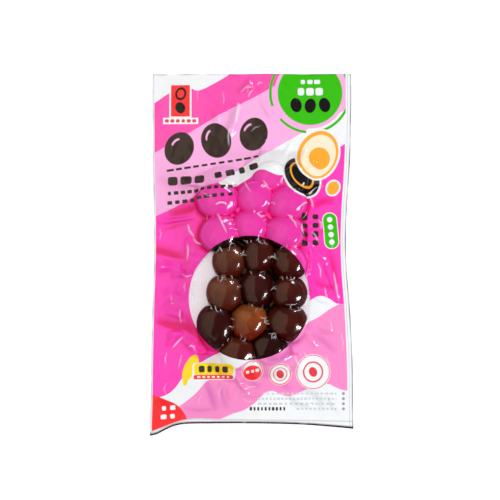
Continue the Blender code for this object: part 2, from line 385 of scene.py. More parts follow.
# Folds that show in the film beside the eggs, from the top of the pack to its bottom
MARGIN_FOLDS = (
    Fold(((-13.6, 68.0), (-10.6, 78.0), (-7.8, 88.0)), 3.0, 2.5, 0.3, 1.8),
    Fold(((-8.6, 97.0), (-4.0, 99.0), (1.5, 99.6)), 2.0, 1.5, 0.3, 1.7),
    Fold(((-20.6, 78.0), (-18.4, 84.0), (-16.6, 90.0)), 1.6, 1.1, 0.3, 1.7),
    Fold(((-22.5, 92.0), (-21.5, 82.0), (-23.0, 70.0)), 2.6, 0.85),
    Fold(((-4.5, 105.0), (0.0, 100.5), (5.0, 96.0)), 1.2, 0.85, 0.2, 1.5),
    Fold(((-1.0, 106.0), (-3.0, 99.0), (-4.0, 93.0)), 1.0, 0.68, -0.2, 1.5),
    Fold(((4.0, 93.0), (9.0, 86.0), (12.0, 80.0)), 2.0, 1.02, 0.2),
    Fold(((-57.0, 45.0), (-45.0, 40.0), (-36.0, 38.0)), 3.0, -0.85),
    Fold(((-50.3, 22.4), (-41.0, 24.0), (-31.0, 27.0)), 2.4, -2.72, 0.3, 1.7),
    Fold(((-56.5, 17.6), (-45.0, 19.0), (-33.0, 20.5)), 1.5, 1.53, 0.3, 1.5),
    Fold(((-55.0, 12.4), (-45.0, 15.8), (-35.5, 18.1)), 1.4, -1.36, 0.2, 1.5),
    Fold(((-66.0, 2.4), (-54.0, -0.4), (-46.0, -2.6), (-38.0, -4.0)), 2.6, -2.6, 0.5, 1.8),
    Fold(((-62.0, -11.0), (-52.0, -8.8), (-42.0, -9.4)), 2.4, 1.6, 0.2, 1.8),
    Fold(((-40.0, -0.5), (-40.2, -8.0), (-39.0, -15.0)), 1.2, -1.0, 0.2, 1.7),
    Fold(((-48.0, -14.2), (-41.0, -12.6), (-35.0, -11.6)), 1.8, 1.7, 0.2, 1.6),
    Fold(((-57.0, -24.0), (-47.0, -27.0), (-40.0, -26.0)), 4.0, 0.85),
    Fold(((-58.0, -41.0), (-47.0, -44.6), (-39.0, -45.0), (-33.0, -50.0)), 2.6, -3.23, 0.4, 1.7),
    Fold(((-41.0, -35.0), (-37.5, -42.5), (-31.0, -50.5), (-23.0, -57.0)), 2.2, -2.04, 0.3, 1.6),
    Fold(((-52.0, -36.0), (-45.0, -37.0), (-39.0, -40.0)), 2.6, 1.36, 0.2),
    Fold(((-42.0, -52.0), (-37.0, -55.0), (-33.0, -61.0)), 1.3, 1.53, 0.2, 1.4),
    Fold(((-38.0, -50.5), (-33.5, -55.0), (-29.0, -58.0)), 1.2, 1.36, -0.2, 1.4),
    Fold(((-50.0, -56.0), (-46.0, -50.0), (-40.0, -47.5)), 1.6, 1.19, 0.2, 1.6),
    Fold(((33.6, 6.0), (35.2, -1.0), (35.0, -9.0), (33.8, -14.0)), 1.6, 2.21, -0.3, 1.6),
    Fold(((38.5, 2.0), (44.0, -8.0), (48.5, -20.0), (51.0, -28.0)), 2.4, 2.04, 0.3, 1.7),
    Fold(((45.5, 3.0), (48.5, -9.0), (51.0, -20.0)), 1.8, -1.53, 0.2, 1.7),
    Fold(((36.0, 26.0), (42.0, 30.0), (50.0, 31.0)), 2.6, -1.7, 0.3),
    Fold(((34.0, 17.0), (41.0, 14.0), (50.0, 15.0)), 2.8, 1.19, 0.2),
    Fold(((36.0, -16.5), (42.0, -20.0), (50.0, -22.0)), 1.6, -1.36, 0.2, 1.5),
    Fold(((35.0, -38.0), (42.0, -45.0), (52.0, -47.0)), 3.0, 1.53, 0.2),
    Fold(((34.5, -48.0), (42.0, -53.0), (50.0, -60.0)), 2.2, -1.36, 0.3, 1.6),
    Fold(((28.0, -55.0), (30.0, -64.0), (26.0, -74.0)), 1.8, 1.7, 0.3, 1.6),
    Fold(((8.0, -63.6), (17.0, -62.6), (25.0, -58.0)), 2.4, -1.7, 0.3, 1.8),
    Fold(((-10.5, -71.5), (-7.5, -78.0), (-2.0, -84.5)), 1.8, 2.04, 0.3, 1.5),
    Fold(((-2.0, -71.5), (0.5, -77.0), (5.0, -80.5)), 1.8, -1.6, -0.3, 1.5),
    Fold(((-7.5, -80.2), (0.0, -79.2), (6.5, -77.4)), 0.9, 1.02, 0.2, 1.4),
    Fold(((-7.5, -84.9), (0.0, -85.2), (6.5, -84.5)), 0.9, 0.85, 0.2, 1.4),
    Fold(((12.0, -72.0), (17.0, -78.0), (24.0, -82.0)), 2.2, -1.4, 0.2, 1.6),
    Fold(((-28.5, -74.5), (-25.0, -84.0), (-21.5, -94.5)), 2.2, -1.87, 0.3, 1.6),
    Fold(((-20.0, -76.0), (-18.0, -85.0), (-15.0, -93.0)), 1.8, -1.36, 0.2, 1.6),
    Fold(((-41.0, -92.6), (-31.0, -94.0), (-20.5, -93.0)), 1.2, -1.19, 0.3, 1.4),
    Fold(((28.0, -80.5), (36.0, -84.0), (40.5, -88.5), (40.3, -95.0)), 1.8, -1.53, 0.3, 1.5),
    Fold(((21.0, -83.0), (27.0, -88.0), (35.0, -91.0)), 2.0, 1.36, 0.2, 1.6),
    Fold(((45.0, -83.0), (48.0, -90.0), (53.0, -95.0)), 2.2, 1.02, 0.2),
    Fold(((-57.0, -88.0), (-52.0, -93.0), (-46.0, -95.0)), 2.0, 1.19, 0.2, 1.6),
)


@dataclass(frozen=True)
class FilmForm:
    """How the two films lie over the eggs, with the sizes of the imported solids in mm.

    The leave is the share of an egg's reach at which its dome turns into a straight slope: steep
    between the low and the high end of the heap, and gentle past them.
    """

    width: float = 120.0
    length: float = 216.0
    left_waist: float = 1.5
    right_waist: float = 3.8
    waist_at: float = 6.0
    waist_reach: float = 44.0
    bottom_draw: float = 6.6
    bottom_draw_right: float = 3.4
    corner_reach: float = 11.0
    skin: float = 0.9
    spread: float = 0.95
    egg_lift: float = 0.7
    leave: float = 0.968
    steep: float = 9.0
    gentle: float = 1.2
    low_end: float = -53.0
    high_end: float = 32.0
    end_fade: float = 8.0
    blend: float = 0.7
    web_level: float = 14.4
    web_reach: float = 3.0
    web_fall: float = 2.4
    juice_shade_reach: float = 7.4
    juice_shade_fade: float = 1.4
    pleat_end: float = 16.0
    pit_reach: float = 3.4
    radiating_count: int = 54
    heap_y: float = -7.0
    ripple: float = 0.045
    ripple_count: int = 14
    free_edge: float = 4.0
    margin_high: float = 5.4
    margin_low: float = 1.3
    margin_fall: float = 9.0
    wave_height: float = 0.5
    wave_length: float = 41.0
    corner_lift: float = 4.5
    half_film: float = 0.2
    floor_clear: float = 0.02
    seed: int = 7

    def drawn_in(self, x: Array, y: Array) -> tuple[Array, Array]:
        """Points of the flat pack, moved to where the eggs draw the film's edges in.

        Args:
            x: Plan positions across the pack.
            y: Plan positions along the pack.

        Returns:
            The moved positions across and along the pack.
        """
        waist = np.exp(-(((y - self.waist_at) / self.waist_reach) ** 2))
        side = np.where(x < 0, self.left_waist, self.right_waist)
        new_x = x * (1 - side * waist * 2 / self.width)
        corner = np.exp(-(((x + self.width / 2) / self.corner_reach) ** 2))
        towards_right = np.maximum(x, 0.0) * 2 / self.width
        draw = self.bottom_draw + (self.bottom_draw_right - self.bottom_draw) * towards_right**2
        low_end = np.maximum(-2 * y / self.length, 0.0) ** 3
        return new_x, y + draw * (1 - corner) * low_end

    def outside(self, x: Array, y: Array) -> Array:
        """Rough distance in plan from the nearest egg, negative over the eggs."""
        return np.min([egg.gap(x, y) for egg in EGGS], axis=0)

    def margin_height(self, x: Array, y: Array) -> Array:
        """Height of the joined films, which stand off the table beside the eggs.

        Args:
            x: Plan positions across the pack.
            y: Plan positions along the pack.

        Returns:
            The height at each position.
        """
        fall = np.exp(-np.maximum(self.outside(x, y), 0.0) / self.margin_fall)
        height = self.margin_low + (self.margin_high - self.margin_low) * fall
        side = (2 * x / self.width) ** 2 * np.sin(2 * math.pi * y / self.wave_length)
        end = (2 * y / self.length) ** 4 * np.sin(2 * math.pi * x / self.wave_length)
        corner = np.hypot(x + self.width / 2, y + self.length / 2)
        lift = self.corner_lift * np.exp(-((corner / (1.6 * self.corner_reach)) ** 2))
        return height + self.wave_height * (side + end) * (1 - fall) + lift

    def dome(self, egg: Egg, x: Array, y: Array) -> Array:
        """Rise of the film over an egg's middle: round on top, steep down its sides.

        Args:
            egg: The egg.
            x: Plan positions across the pack.
            y: Plan positions along the pack.

        Returns:
            The rise at each position.
        """
        along, across = egg.local(x, y)
        half_long, half_wide = egg.long / 2 + self.spread, egg.wide / 2 + self.spread
        blunt = 1 + TAPER * np.clip(along / half_long, -1, 1)
        share = np.hypot(along / half_long, across / (half_wide * blunt))
        rise = egg.tall / 2 + self.skin
        on_top = (1 - np.minimum(share, self.leave) ** egg.fullness) ** (1 / egg.fullness)
        past_end = ramp(np.maximum(self.low_end - y, y - self.high_end), 0.0, self.end_fade)
        slope = self.steep + (self.gentle - self.steep) * past_end
        return rise * (on_top - np.maximum(share - self.leave, 0.0) * slope)

    def third_gap(self, x: Array, y: Array) -> Array:
        """Distance in plan to the third nearest egg, which is small only inside the heap."""
        return np.sort([egg.gap(x, y) for egg in EGGS], axis=0)[2]

    def web(self, x: Array, y: Array) -> Array:
        """Height of the film where it bridges the pit between three eggs of the heap."""
        past = np.maximum(self.third_gap(x, y) - self.web_reach, 0.0)
        return self.web_level - past * self.web_fall

    def juice(self, x: Array, y: Array) -> Array:
        """Where dark braising liquid and painted shade fill the pits between the eggs, from 0 to 1.
        """
        return ramp(-self.third_gap(x, y), -self.juice_shade_reach, self.juice_shade_fade)

    def ripples(self, x: Array, y: Array) -> Array:
        """Slight unevenness of the pulled film, as a sum of a few waves.

        Args:
            x: Plan positions across the pack.
            y: Plan positions along the pack.

        Returns:
            The added height at each position.
        """
        draw = np.random.default_rng(self.seed + 2)
        added = np.zeros_like(x)
        for _ in range(self.ripple_count):
            angle = draw.uniform(0.0, math.pi)
            length = draw.uniform(4.5, 11.0)
            phase = draw.uniform(0.0, 2 * math.pi)
            way = (x * math.cos(angle) + y * math.sin(angle)) * 2 * math.pi / length
            added += self.ripple * (length / 8.0) * np.sin(way + phase)
        return added

    def smooth_max(self, a: Array, b: Array) -> Array:
        """The larger of two heights, rounded where they meet."""
        near = np.maximum(self.blend - np.abs(a - b), 0.0) / self.blend
        return np.maximum(a, b) + near * near * self.blend / 4

    def pleats(self) -> list[Fold]:
        """The window's upright wrinkles, and small pleats across the grooves between eggs.

        Returns:
            The pleats.
        """
        draw = np.random.default_rng(self.seed)
        made = list(CRESCENT_FOLDS)
        for number, first in enumerate(EGGS):
            for second in EGGS[number + 1 :]:
                across = np.array((second.x - first.x, second.y - first.y, 0.0))
                apart = float(np.hypot(across[0], across[1]))
                unit = across / apart
                mine = first.reach(unit)
                theirs = second.reach(unit)
                if apart > 1.12 * (mine + theirs):
                    continue
                meet_x = first.x + unit[0] * apart * mine / (mine + theirs)
                meet_y = first.y + unit[1] * apart * mine / (mine + theirs)
                shown = self.low_end < (first.y + second.y) / 2 < self.pleat_end
                for _ in range(int(draw.integers(4, 9) if shown else draw.integers(1, 4))):
                    slide = draw.uniform(-7.0, 7.0)
                    turn = draw.uniform(-1.2, 1.2)
                    half = draw.uniform(0.7, 2.8)
                    way_x = unit[0] * math.cos(turn) - unit[1] * math.sin(turn)
                    way_y = unit[0] * math.sin(turn) + unit[1] * math.cos(turn)
                    down = -1.0 if way_y > 0 else 1.0
                    shift = draw.uniform(-0.2, 0.9) * half * down
                    at_x = meet_x - unit[1] * slide + way_x * shift
                    at_y = meet_y + unit[0] * slide + way_y * shift
                    bend = draw.uniform(-0.8, 0.8) * half
                    if self.third_gap(np.array([at_x]), np.array([at_y]))[0] < self.pit_reach:
                        continue
                    points = (
                        (at_x - way_x * half, at_y - way_y * half),
                        (at_x - way_y * bend, at_y + way_x * bend),
                        (at_x + way_x * half, at_y + way_y * half),
                    )
                    width = draw.uniform(0.22, 0.40)
                    height = draw.uniform(0.2, 0.65)
                    made.append(Fold(points, width, height, draw.uniform(-0.35, 0.35), 1.7))
        return made

    def pleat_rise(self, x: Array, y: Array) -> Array:
        """Height that the pleats add to the film."""
        return np.max([pleat.rise(x, y) for pleat in self.pleats()], axis=0)

    def crease_rise(self, x: Array, y: Array) -> Array:
        """Height that the sharp creases round the heap add to the film."""
        return np.max([crease.rise(x, y) for crease in SHARP_CREASES], axis=0)

    def fold_depth(self, x: Array, y: Array) -> Array:
        """How far the margins' folds dip at each position."""
        folds = [fold.rise(x, y) for fold in MARGIN_FOLDS if fold.height < 0]
        return -np.min(folds, axis=0)

    def radiating(self) -> list[Fold]:
        """Light creases that run out from the heap of eggs into the margins.

        Returns:
            The creases.
        """
        draw = np.random.default_rng(self.seed + 1)
        made = []
        steps = np.arange(15.0, 95.0, 0.5)
        for number in range(self.radiating_count):
            angle = 2 * math.pi * (number + draw.uniform(-0.4, 0.4)) / self.radiating_count
            way_x, way_y = math.cos(angle), math.sin(angle)
            gaps = self.outside(way_x * steps, self.heap_y + way_y * steps)
            edge = steps[np.nonzero(gaps < 1.5)[0].max(initial=0)]
            start = edge + draw.uniform(0.0, 2.5)
            reach = draw.uniform(8.0, 20.0)
            bend = draw.uniform(-0.22, 0.22)
            points = []
            for part, turn in ((0.0, 0.0), (0.5, bend / 3), (1.0, bend / 2)):
                away = start + reach * part
                x, y = math.cos(angle + turn) * away, math.sin(angle + turn) * away
                points.append((x, self.heap_y + y))
            height = draw.uniform(0.5, 1.3) * draw.choice((-1.0, 1.0))
            width, lean = draw.uniform(1.2, 3.0), draw.uniform(-0.3, 0.3)
            made.append(Fold(tuple(points), width, height, lean, 1.6))
        return made

    def front_height(self, x: Array, y: Array) -> Array:
        """Outer face of the front film, with its folds and pleats.

        Args:
            x: Plan positions across the pack.
            y: Plan positions along the pack.

        Returns:
            The height above the table.
        """
        height = self.margin_height(x, y) + self.half_film
        for egg in EGGS:
            height = self.smooth_max(height, egg.tall / 2 + self.egg_lift + self.dome(egg, x, y))
        height = self.smooth_max(height, self.web(x, y))
        edge = np.minimum(self.width / 2 - np.abs(x), self.length / 2 - np.abs(y))
        free = ramp(edge, 0.0, self.free_edge)
        height = height + self.ripples(x, y) * free
        for fold in (*MARGIN_FOLDS, *self.radiating()):
            height = height + fold.rise(x, y) * free
        height = height + self.crease_rise(x, y) * free
        height = np.minimum(height + self.pleat_rise(x, y), height.max())
        return np.maximum(height, self.back_height(x, y) + 2 * self.half_film)

    def on_egg(self, x: Array, y: Array) -> Array:
        """How far the front film lies on an egg at each position, from 0 to 1."""
        domes = [egg.tall / 2 + self.egg_lift + self.dome(egg, x, y) for egg in EGGS]
        return ramp(np.max(domes, axis=0) - self.margin_height(x, y), 1.0, 4.0)

    def soft_foot(self, x: Array, y: Array) -> Array:
        """Where the film leaves the heap without a groove: its right, bottom and top sides.

        Args:
            x: Plan positions across the pack.
            y: Plan positions along the pack.

        Returns:
            A share from 0 to 1 at each position.
        """
        right = ramp(x, 27.0, 4.0) * ramp(-y, -6.0, 6.0)
        bottom = ramp(-y, 57.0, 5.0)
        top = ramp(y, 37.0, 4.0)
        return np.maximum(right, np.maximum(bottom, top))

    def hollows(self, heights: Array, reach: int, depth: float) -> Array:
        """How deep each point of a grid of heights lies among those round it.

        Args:
            heights: Heights by row and column of the grid.
            reach: How many grid steps round a point are compared with it.
            depth: The depth in mm that counts as a full hollow.

        Returns:
            A share from 0 to 1 at each point of the grid.
        """
        size = 2 * reach + 1
        level = heights
        for axis in (0, 1):
            pad = [(0, 0), (0, 0)]
            pad[axis] = (reach + 1, reach)
            total = np.cumsum(np.pad(level, pad, mode="edge"), axis=axis)
            last = np.take(total, range(size, total.shape[axis]), axis=axis)
            first = np.take(total, range(total.shape[axis] - size), axis=axis)
            level = (last - first) / size
        return np.clip((level - heights) / depth, 0, 1)

    def back_height(self, x: Array, y: Array) -> Array:
        """Outer face of the back film, flat where an egg rests on the table.

        Args:
            x: Plan positions across the pack.
            y: Plan positions along the pack.

        Returns:
            The height above the table.
        """
        depth = self.half_film - self.margin_height(x, y)
        for egg in EGGS:
            depth = self.smooth_max(depth, self.dome(egg, x, y) - egg.tall / 2 - self.egg_lift)
        return np.maximum(-depth, self.floor_clear)


@dataclass(frozen=True)
class Window:
    """The clear round window in the front film, in mm."""

    x: float = -1.7
    y: float = -27.2
    radius: float = 36.0

    def away(self, x: Array, y: Array) -> Array:
        """Distance from the window's centre in plan."""
        return np.hypot(x - self.x, y - self.y)


def places(mesh: bpy.types.Mesh) -> Array:
    """The vertices of a mesh as an array of positions in millimetres.

    Args:
        mesh: The mesh.

    Returns:
        One row for each vertex.
    """
    flat = np.empty(len(mesh.vertices) * 3)
    mesh.vertices.foreach_get("co", flat)
    return flat.reshape(-1, 3) / MM


def put(mesh: bpy.types.Mesh, spots: Array) -> None:
    """Move the vertices of a mesh to positions in millimetres."""
    mesh.vertices.foreach_set("co", (spots * MM).ravel())
    mesh.update()


def plain_mesh(made: bmesh.types.BMesh, name: str) -> bpy.types.Mesh:
    """A new mesh with the faces of a bmesh, which is freed.

    Args:
        made: The bmesh.
        name: The name of what is made.

    Returns:
        The mesh.
    """
    mesh = bpy.data.meshes.new(name)
    made.to_mesh(mesh)
    made.free()
    return mesh


def add_piece(
    name: str, mesh: bpy.types.Mesh, finishes: list[bpy.types.Material]
) -> bpy.types.Object:
    """Link a finished mesh as a smooth piece that rides on the pack's body.

    Args:
        name: The piece's name.
        mesh: Its finished mesh, in place.
        finishes: Its materials, in the order of the mesh's material indices.

    Returns:
        The piece.
    """
    mesh.name = name
    mesh.shade_smooth()
    for finish in finishes:
        mesh.materials.append(finish)
    piece = bpy.data.objects.new(name, mesh)
    bpy.context.scene.collection.objects.link(piece)
    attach(piece, BODY)
    log.info("%s: %d faces", name, len(mesh.polygons))
    return piece


class Bench:
    """Adds nodes to one tree, so that a material or a group reads as a list of steps."""

    def __init__(self, tree: bpy.types.NodeTree) -> None:
        """Work on one tree."""
        self.tree = tree

    def add(self, kind: str, **settings: object) -> bpy.types.Node:
        """Add a node and set its properties.

        Args:
            kind: The node's type.
            settings: The node's properties by name.

        Returns:
            The node.
        """
        node = self.tree.nodes.new(kind)
        for name, value in settings.items():
            setattr(node, name, value)
        return node

    def feed(self, node: bpy.types.Node, **values: object) -> bpy.types.Node:
        """Link or set a node's inputs by name, where an underscore stands for a space.

        Args:
            node: The node.
            values: Sockets or plain values by input name.

        Returns:
            The same node.
        """
        for name, value in values.items():
            self.join(value, node.inputs[name.replace("_", " ")])
        return node

    def join(self, value: object, target: bpy.types.NodeSocket) -> None:
        """Link a socket to an input, or set a plain value on it.

        Args:
            value: A socket or a plain value.
            target: The input.
        """
        if isinstance(value, bpy.types.NodeSocket):
            self.tree.links.new(value, target)
        else:
            target.default_value = value

    def math(self, operation: str, *values: object, clamp: bool = False) -> bpy.types.NodeSocket:
        """A Math node's result.

        Args:
            operation: The node's operation.
            values: Sockets or plain values, in the order of its inputs.
            clamp: Whether the result is held from 0 to 1.

        Returns:
            The result.
        """
        node = self.add("ShaderNodeMath", operation=operation, use_clamp=clamp)
        for value, target in zip(values, node.inputs):
            self.join(value, target)
        return node.outputs[0]

    def vector(self, operation: str, *values: object) -> bpy.types.NodeSocket:
        """A Vector Math node's result, which is a number for a length.

        Args:
            operation: The node's operation.
            values: Sockets or plain values, in the order of its inputs.

        Returns:
            The result.
        """
        node = self.add("ShaderNodeVectorMath", operation=operation)
        for value, target in zip(values, node.inputs):
            self.join(value, target)
        return node.outputs["Value" if operation == "LENGTH" else "Vector"]

    def split(self, vector: bpy.types.NodeSocket) -> tuple[bpy.types.NodeSocket, ...]:
        """The three parts of a vector.

        Args:
            vector: The vector.

        Returns:
            The parts, in order.
        """
        node = self.add("ShaderNodeSeparateXYZ")
        self.join(vector, node.inputs[0])
        return tuple(node.outputs)

    def mix(self, mask: object, first: object, second: object) -> bpy.types.NodeSocket:
        """One colour over another by a mask.

        Args:
            mask: The mask, from 0 to 1.
            first: The colour where the mask is 0.
            second: The colour where it is 1.

        Returns:
            The mixed colour.
        """
        node = self.add("ShaderNodeMix", data_type="RGBA")
        self.join(mask, node.inputs["Factor"])
        for value, index in ((first, 6), (second, 7)):
            if isinstance(value, tuple):
                value = (*value, 1.0)
            self.join(value, node.inputs[index])
        return node.outputs[2]

    def group(self, tree: bpy.types.NodeTree, **values: object) -> bpy.types.Node:
        """Place a node group with its own values.

        Args:
            tree: The node group.
            values: Sockets or plain values by input name.

        Returns:
            The placed node.
        """
        node = self.add("ShaderNodeGroup")
        node.node_tree = tree
        return self.feed(node, **values)

    def place(self) -> bpy.types.NodeSocket:
        """The position in the piece's own space."""
        return self.add("ShaderNodeTexCoord").outputs["Object"]

    def plan(self) -> bpy.types.NodeSocket:
        """The plan position in mm, with no height."""
        return self.vector("MULTIPLY", self.place(), (1 / MM, 1 / MM, 0.0))

    def share(self, name: str) -> bpy.types.NodeSocket:
        """One of the film's attributes."""
        return self.add("ShaderNodeAttribute", attribute_name=name).outputs["Fac"]

    def normal(self) -> tuple[bpy.types.NodeSocket, ...]:
        """The three parts of the surface's normal."""
        return self.split(self.add("ShaderNodeNewGeometry").outputs["Normal"])

    def noise(self, where: bpy.types.NodeSocket, **values: object) -> bpy.types.NodeSocket:
        """A Noise Texture's value at a position."""
        node = self.add("ShaderNodeTexNoise")
        return self.feed(node, Vector=where, **values).outputs["Fac"]

    def bump(self, strength: float, depth: float, height: object) -> bpy.types.NodeSocket:
        """A normal tilted by heights, whose full range is the depth in mm."""
        node = self.add("ShaderNodeBump")
        return self.feed(node, Strength=strength, Distance=depth * MM, Height=height).outputs[0]


def new_finish(name: str) -> tuple[bpy.types.Material, Bench, bpy.types.Node]:
    """A new material, a bench on its nodes and its Principled shader.

    Args:
        name: The name of what is made.

    Returns:
        The material, the bench and the shader.
    """
    made = bpy.data.materials.new(name)
    made.use_nodes = True
    return made, Bench(made.node_tree), made.node_tree.nodes["Principled BSDF"]


class GroupMaker:
    """Builds the shader node groups that the films' finishes share.

    The soft is the width in mm over which a printed edge fades, and placed holds the sockets of
    a shape that has a place, a size and a turn.
    """

    soft: float = 0.35
    vector: str = "NodeSocketVector"
    number: str = "NodeSocketFloat"

    def __init__(self) -> None:
        """Build every group once."""
        self.placed = {
            "Plan": self.vector,
            "Centre": self.vector,
            "Half Size": self.vector,
            "Turn": self.number,
        }
        self.oval = self._oval()
        self.bar = self._bar()
        self.ring = self._ring()
        self.dashes = self._dashes()
        self.below = self._below()
        self.film_grain = self._film_grain()

    def _start(self, name: str, inputs: dict[str, str], outputs: tuple[str, ...]) -> tuple:
        """A new group with its sockets.

        Args:
            name: The group's name.
            inputs: Socket types by input name.
            outputs: Names of the number outputs.

        Returns:
            The tree, a bench on it, and its input and output nodes.
        """
        tree = bpy.data.node_groups.new(name, "ShaderNodeTree")
        for label, kind in inputs.items():
            tree.interface.new_socket(label, in_out="INPUT", socket_type=kind)
        for label in outputs:
            tree.interface.new_socket(label, in_out="OUTPUT", socket_type="NodeSocketFloat")
        bench = Bench(tree)
        return tree, bench, bench.add("NodeGroupInput"), bench.add("NodeGroupOutput")

    def _turned(self, bench: Bench, given: bpy.types.Node) -> bpy.types.NodeSocket:
        """The plan position from a shape's centre, turned into the shape's own axes.

        Args:
            bench: The group's bench.
            given: The group's input node.

        Returns:
            The turned position.
        """
        offset = bench.vector("SUBTRACT", given.outputs["Plan"], given.outputs["Centre"])
        angle = bench.math("MULTIPLY", given.outputs["Turn"], -math.pi / 180)
        turn = bench.add("ShaderNodeVectorRotate", rotation_type="Z_AXIS")
        bench.feed(turn, Vector=offset, Angle=angle)
        return turn.outputs[0]

    def _edge_mask(self, bench: Bench, distance: bpy.types.NodeSocket) -> bpy.types.NodeSocket:
        """1 inside a shape and 0 outside, from the signed distance to its outline."""
        share = bench.math("DIVIDE", distance, self.soft)
        return bench.math("SUBTRACT", 0.5, share, clamp=True)

    def _oval_distance(self, bench: Bench, given: bpy.types.Node) -> bpy.types.NodeSocket:
        """About the distance from an oval's outline, negative inside.

        Args:
            bench: The group's bench.
            given: The group's input node.

        Returns:
            The distance in mm.
        """
        scaled = bench.vector("DIVIDE", self._turned(bench, given), given.outputs["Half Size"])
        radius = bench.math("SUBTRACT", bench.vector("LENGTH", scaled), 1.0)
        half = bench.split(given.outputs["Half Size"])
        return bench.math("MULTIPLY", radius, bench.math("MINIMUM", half[0], half[1]))

    def _oval(self) -> bpy.types.NodeTree:
        """A filled oval.

        Returns:
            The node group.
        """
        tree, bench, given, out = self._start("Sheet Oval", self.placed, ("Mask",))
        distance = self._oval_distance(bench, given)
        bench.feed(out, Mask=self._edge_mask(bench, distance))
        return tree

    def _ring(self) -> bpy.types.NodeTree:
        """The outline of an oval, drawn with a band of even width.

        Returns:
            The node group.
        """
        sockets = {**self.placed, "Band": self.number}
        tree, bench, given, out = self._start("Sheet Ring", sockets, ("Mask",))
        distance = bench.math("ABSOLUTE", self._oval_distance(bench, given))
        half = bench.math("MULTIPLY", given.outputs["Band"], 0.5)
        bench.feed(out, Mask=self._edge_mask(bench, bench.math("SUBTRACT", distance, half)))
        return tree

    def _bar(self) -> bpy.types.NodeTree:
        """A filled bar with round corners.

        Returns:
            The node group.
        """
        sockets = {**self.placed, "Round": self.number}
        tree, bench, given, out = self._start("Sheet Bar", sockets, ("Mask",))
        away = bench.vector("ABSOLUTE", self._turned(bench, given))
        core = bench.vector("SUBTRACT", away, given.outputs["Half Size"])
        corner = bench.add("ShaderNodeCombineXYZ")
        bench.feed(corner, X=given.outputs["Round"], Y=given.outputs["Round"])
        past = bench.vector("ADD", core, corner.outputs[0])
        past = bench.vector("MAXIMUM", past, (0.0, 0.0, 0.0))
        distance = bench.math("SUBTRACT", bench.vector("LENGTH", past), given.outputs["Round"])
        bench.feed(out, Mask=self._edge_mask(bench, distance))
        return tree

    def _dashes(self) -> bpy.types.NodeTree:
        """A row of plain dashes of uneven length, from its start along its turn.

        Returns:
            The node group.
        """
        names = ("Turn", "Length", "Height", "Pitch", "Fill")
        sockets = {"Plan": self.vector, "Centre": self.vector}
        sockets.update({name: self.number for name in names})
        tree, bench, given, out = self._start("Sheet Dashes", sockets, ("Mask",))
        along, across, _ = bench.split(self._turned(bench, given))
        cells = bench.math("DIVIDE", along, given.outputs["Pitch"])
        cell = bench.math("FLOOR", cells)
        noise = bench.add("ShaderNodeTexWhiteNoise", noise_dimensions="2D")
        seed = bench.add("ShaderNodeCombineXYZ")
        bench.feed(seed, X=cell, Y=bench.split(given.outputs["Centre"])[1])
        bench.feed(noise, Vector=seed.outputs[0])
        spread = bench.math("MULTIPLY_ADD", noise.outputs["Value"], 0.3, -0.15)
        share = bench.math("ADD", given.outputs["Fill"], spread)
        inside = bench.math("ABSOLUTE", bench.math("SUBTRACT", bench.math("FRACT", cells), 0.5))
        past = bench.math("SUBTRACT", inside, bench.math("MULTIPLY", share, 0.5))
        wide = bench.math("MULTIPLY", past, given.outputs["Pitch"])
        away = bench.math("ABSOLUTE", across)
        high = bench.math("MULTIPLY_ADD", given.outputs["Height"], -0.5, away)
        half = bench.math("MULTIPLY", given.outputs["Length"], 0.5)
        from_middle = bench.math("ABSOLUTE", bench.math("SUBTRACT", along, half))
        end = bench.math("SUBTRACT", from_middle, half)
        corner = bench.math("MULTIPLY", given.outputs["Height"], 0.28)
        past_wide = bench.math("MAXIMUM", bench.math("ADD", wide, corner), 0.0)
        past_high = bench.math("MAXIMUM", bench.math("ADD", high, corner), 0.0)
        square = bench.math("POWER", past_high, 2.0)
        squares = bench.math("MULTIPLY_ADD", past_wide, past_wide, square)
        rounded = bench.math("SUBTRACT", bench.math("SQRT", squares), corner)
        distance = bench.math("MAXIMUM", rounded, end)
        bench.feed(out, Mask=self._edge_mask(bench, distance))
        return tree

    def _below(self) -> bpy.types.NodeTree:
        """Everything on the bottom side of an edge that crosses the sheet.

        Returns:
            The node group.
        """
        sockets = {"Plan": self.vector, "Edge": self.number}
        tree, bench, given, out = self._start("Sheet Below", sockets, ("Mask",))
        height = bench.split(given.outputs["Plan"])[1]
        distance = bench.math("SUBTRACT", height, given.outputs["Edge"])
        bench.feed(out, Mask=self._edge_mask(bench, distance))
        return tree

    def _film_grain(self) -> bpy.types.NodeTree:
        """Fine unevenness of pulled film: heights for a bump and a change of gloss.

        Returns:
            The node group.
        """
        sockets = {"Position": self.vector, "Scale": self.number}
        tree, bench, given, out = self._start("Film Grain", sockets, ("Height", "Gloss"))
        where, scale = given.outputs["Position"], given.outputs["Scale"]
        broad = bench.noise(where, Scale=scale, Detail=2.0)
        fine = bench.noise(where, Scale=bench.math("MULTIPLY", scale, 5.3), Detail=1.0)
        height = bench.math("MULTIPLY_ADD", fine, 0.12, broad)
        bench.feed(out, Height=height, Gloss=broad)
        return tree


@dataclass(frozen=True)
class Shape:
    """A printed shape: where it lies on the sheet in mm, and its colour."""

    colour: Ink
    x: float
    y: float
    half_x: float
    half_y: float
    turn: float = 0.0


@dataclass(frozen=True)
class Oval(Shape):
    """A filled oval."""


@dataclass(frozen=True)
class Bar(Shape):
    """A filled bar with round corners."""

    round: float = 1.0


@dataclass(frozen=True)
class Ring(Shape):
    """An oval outline."""

    band: float = 1.0


@dataclass(frozen=True)
class Dashes(Shape):
    """A row of dashes from a start: half_x is half the row's length, half_y half its height."""

    pitch: float = 4.0
    fill: float = 0.65


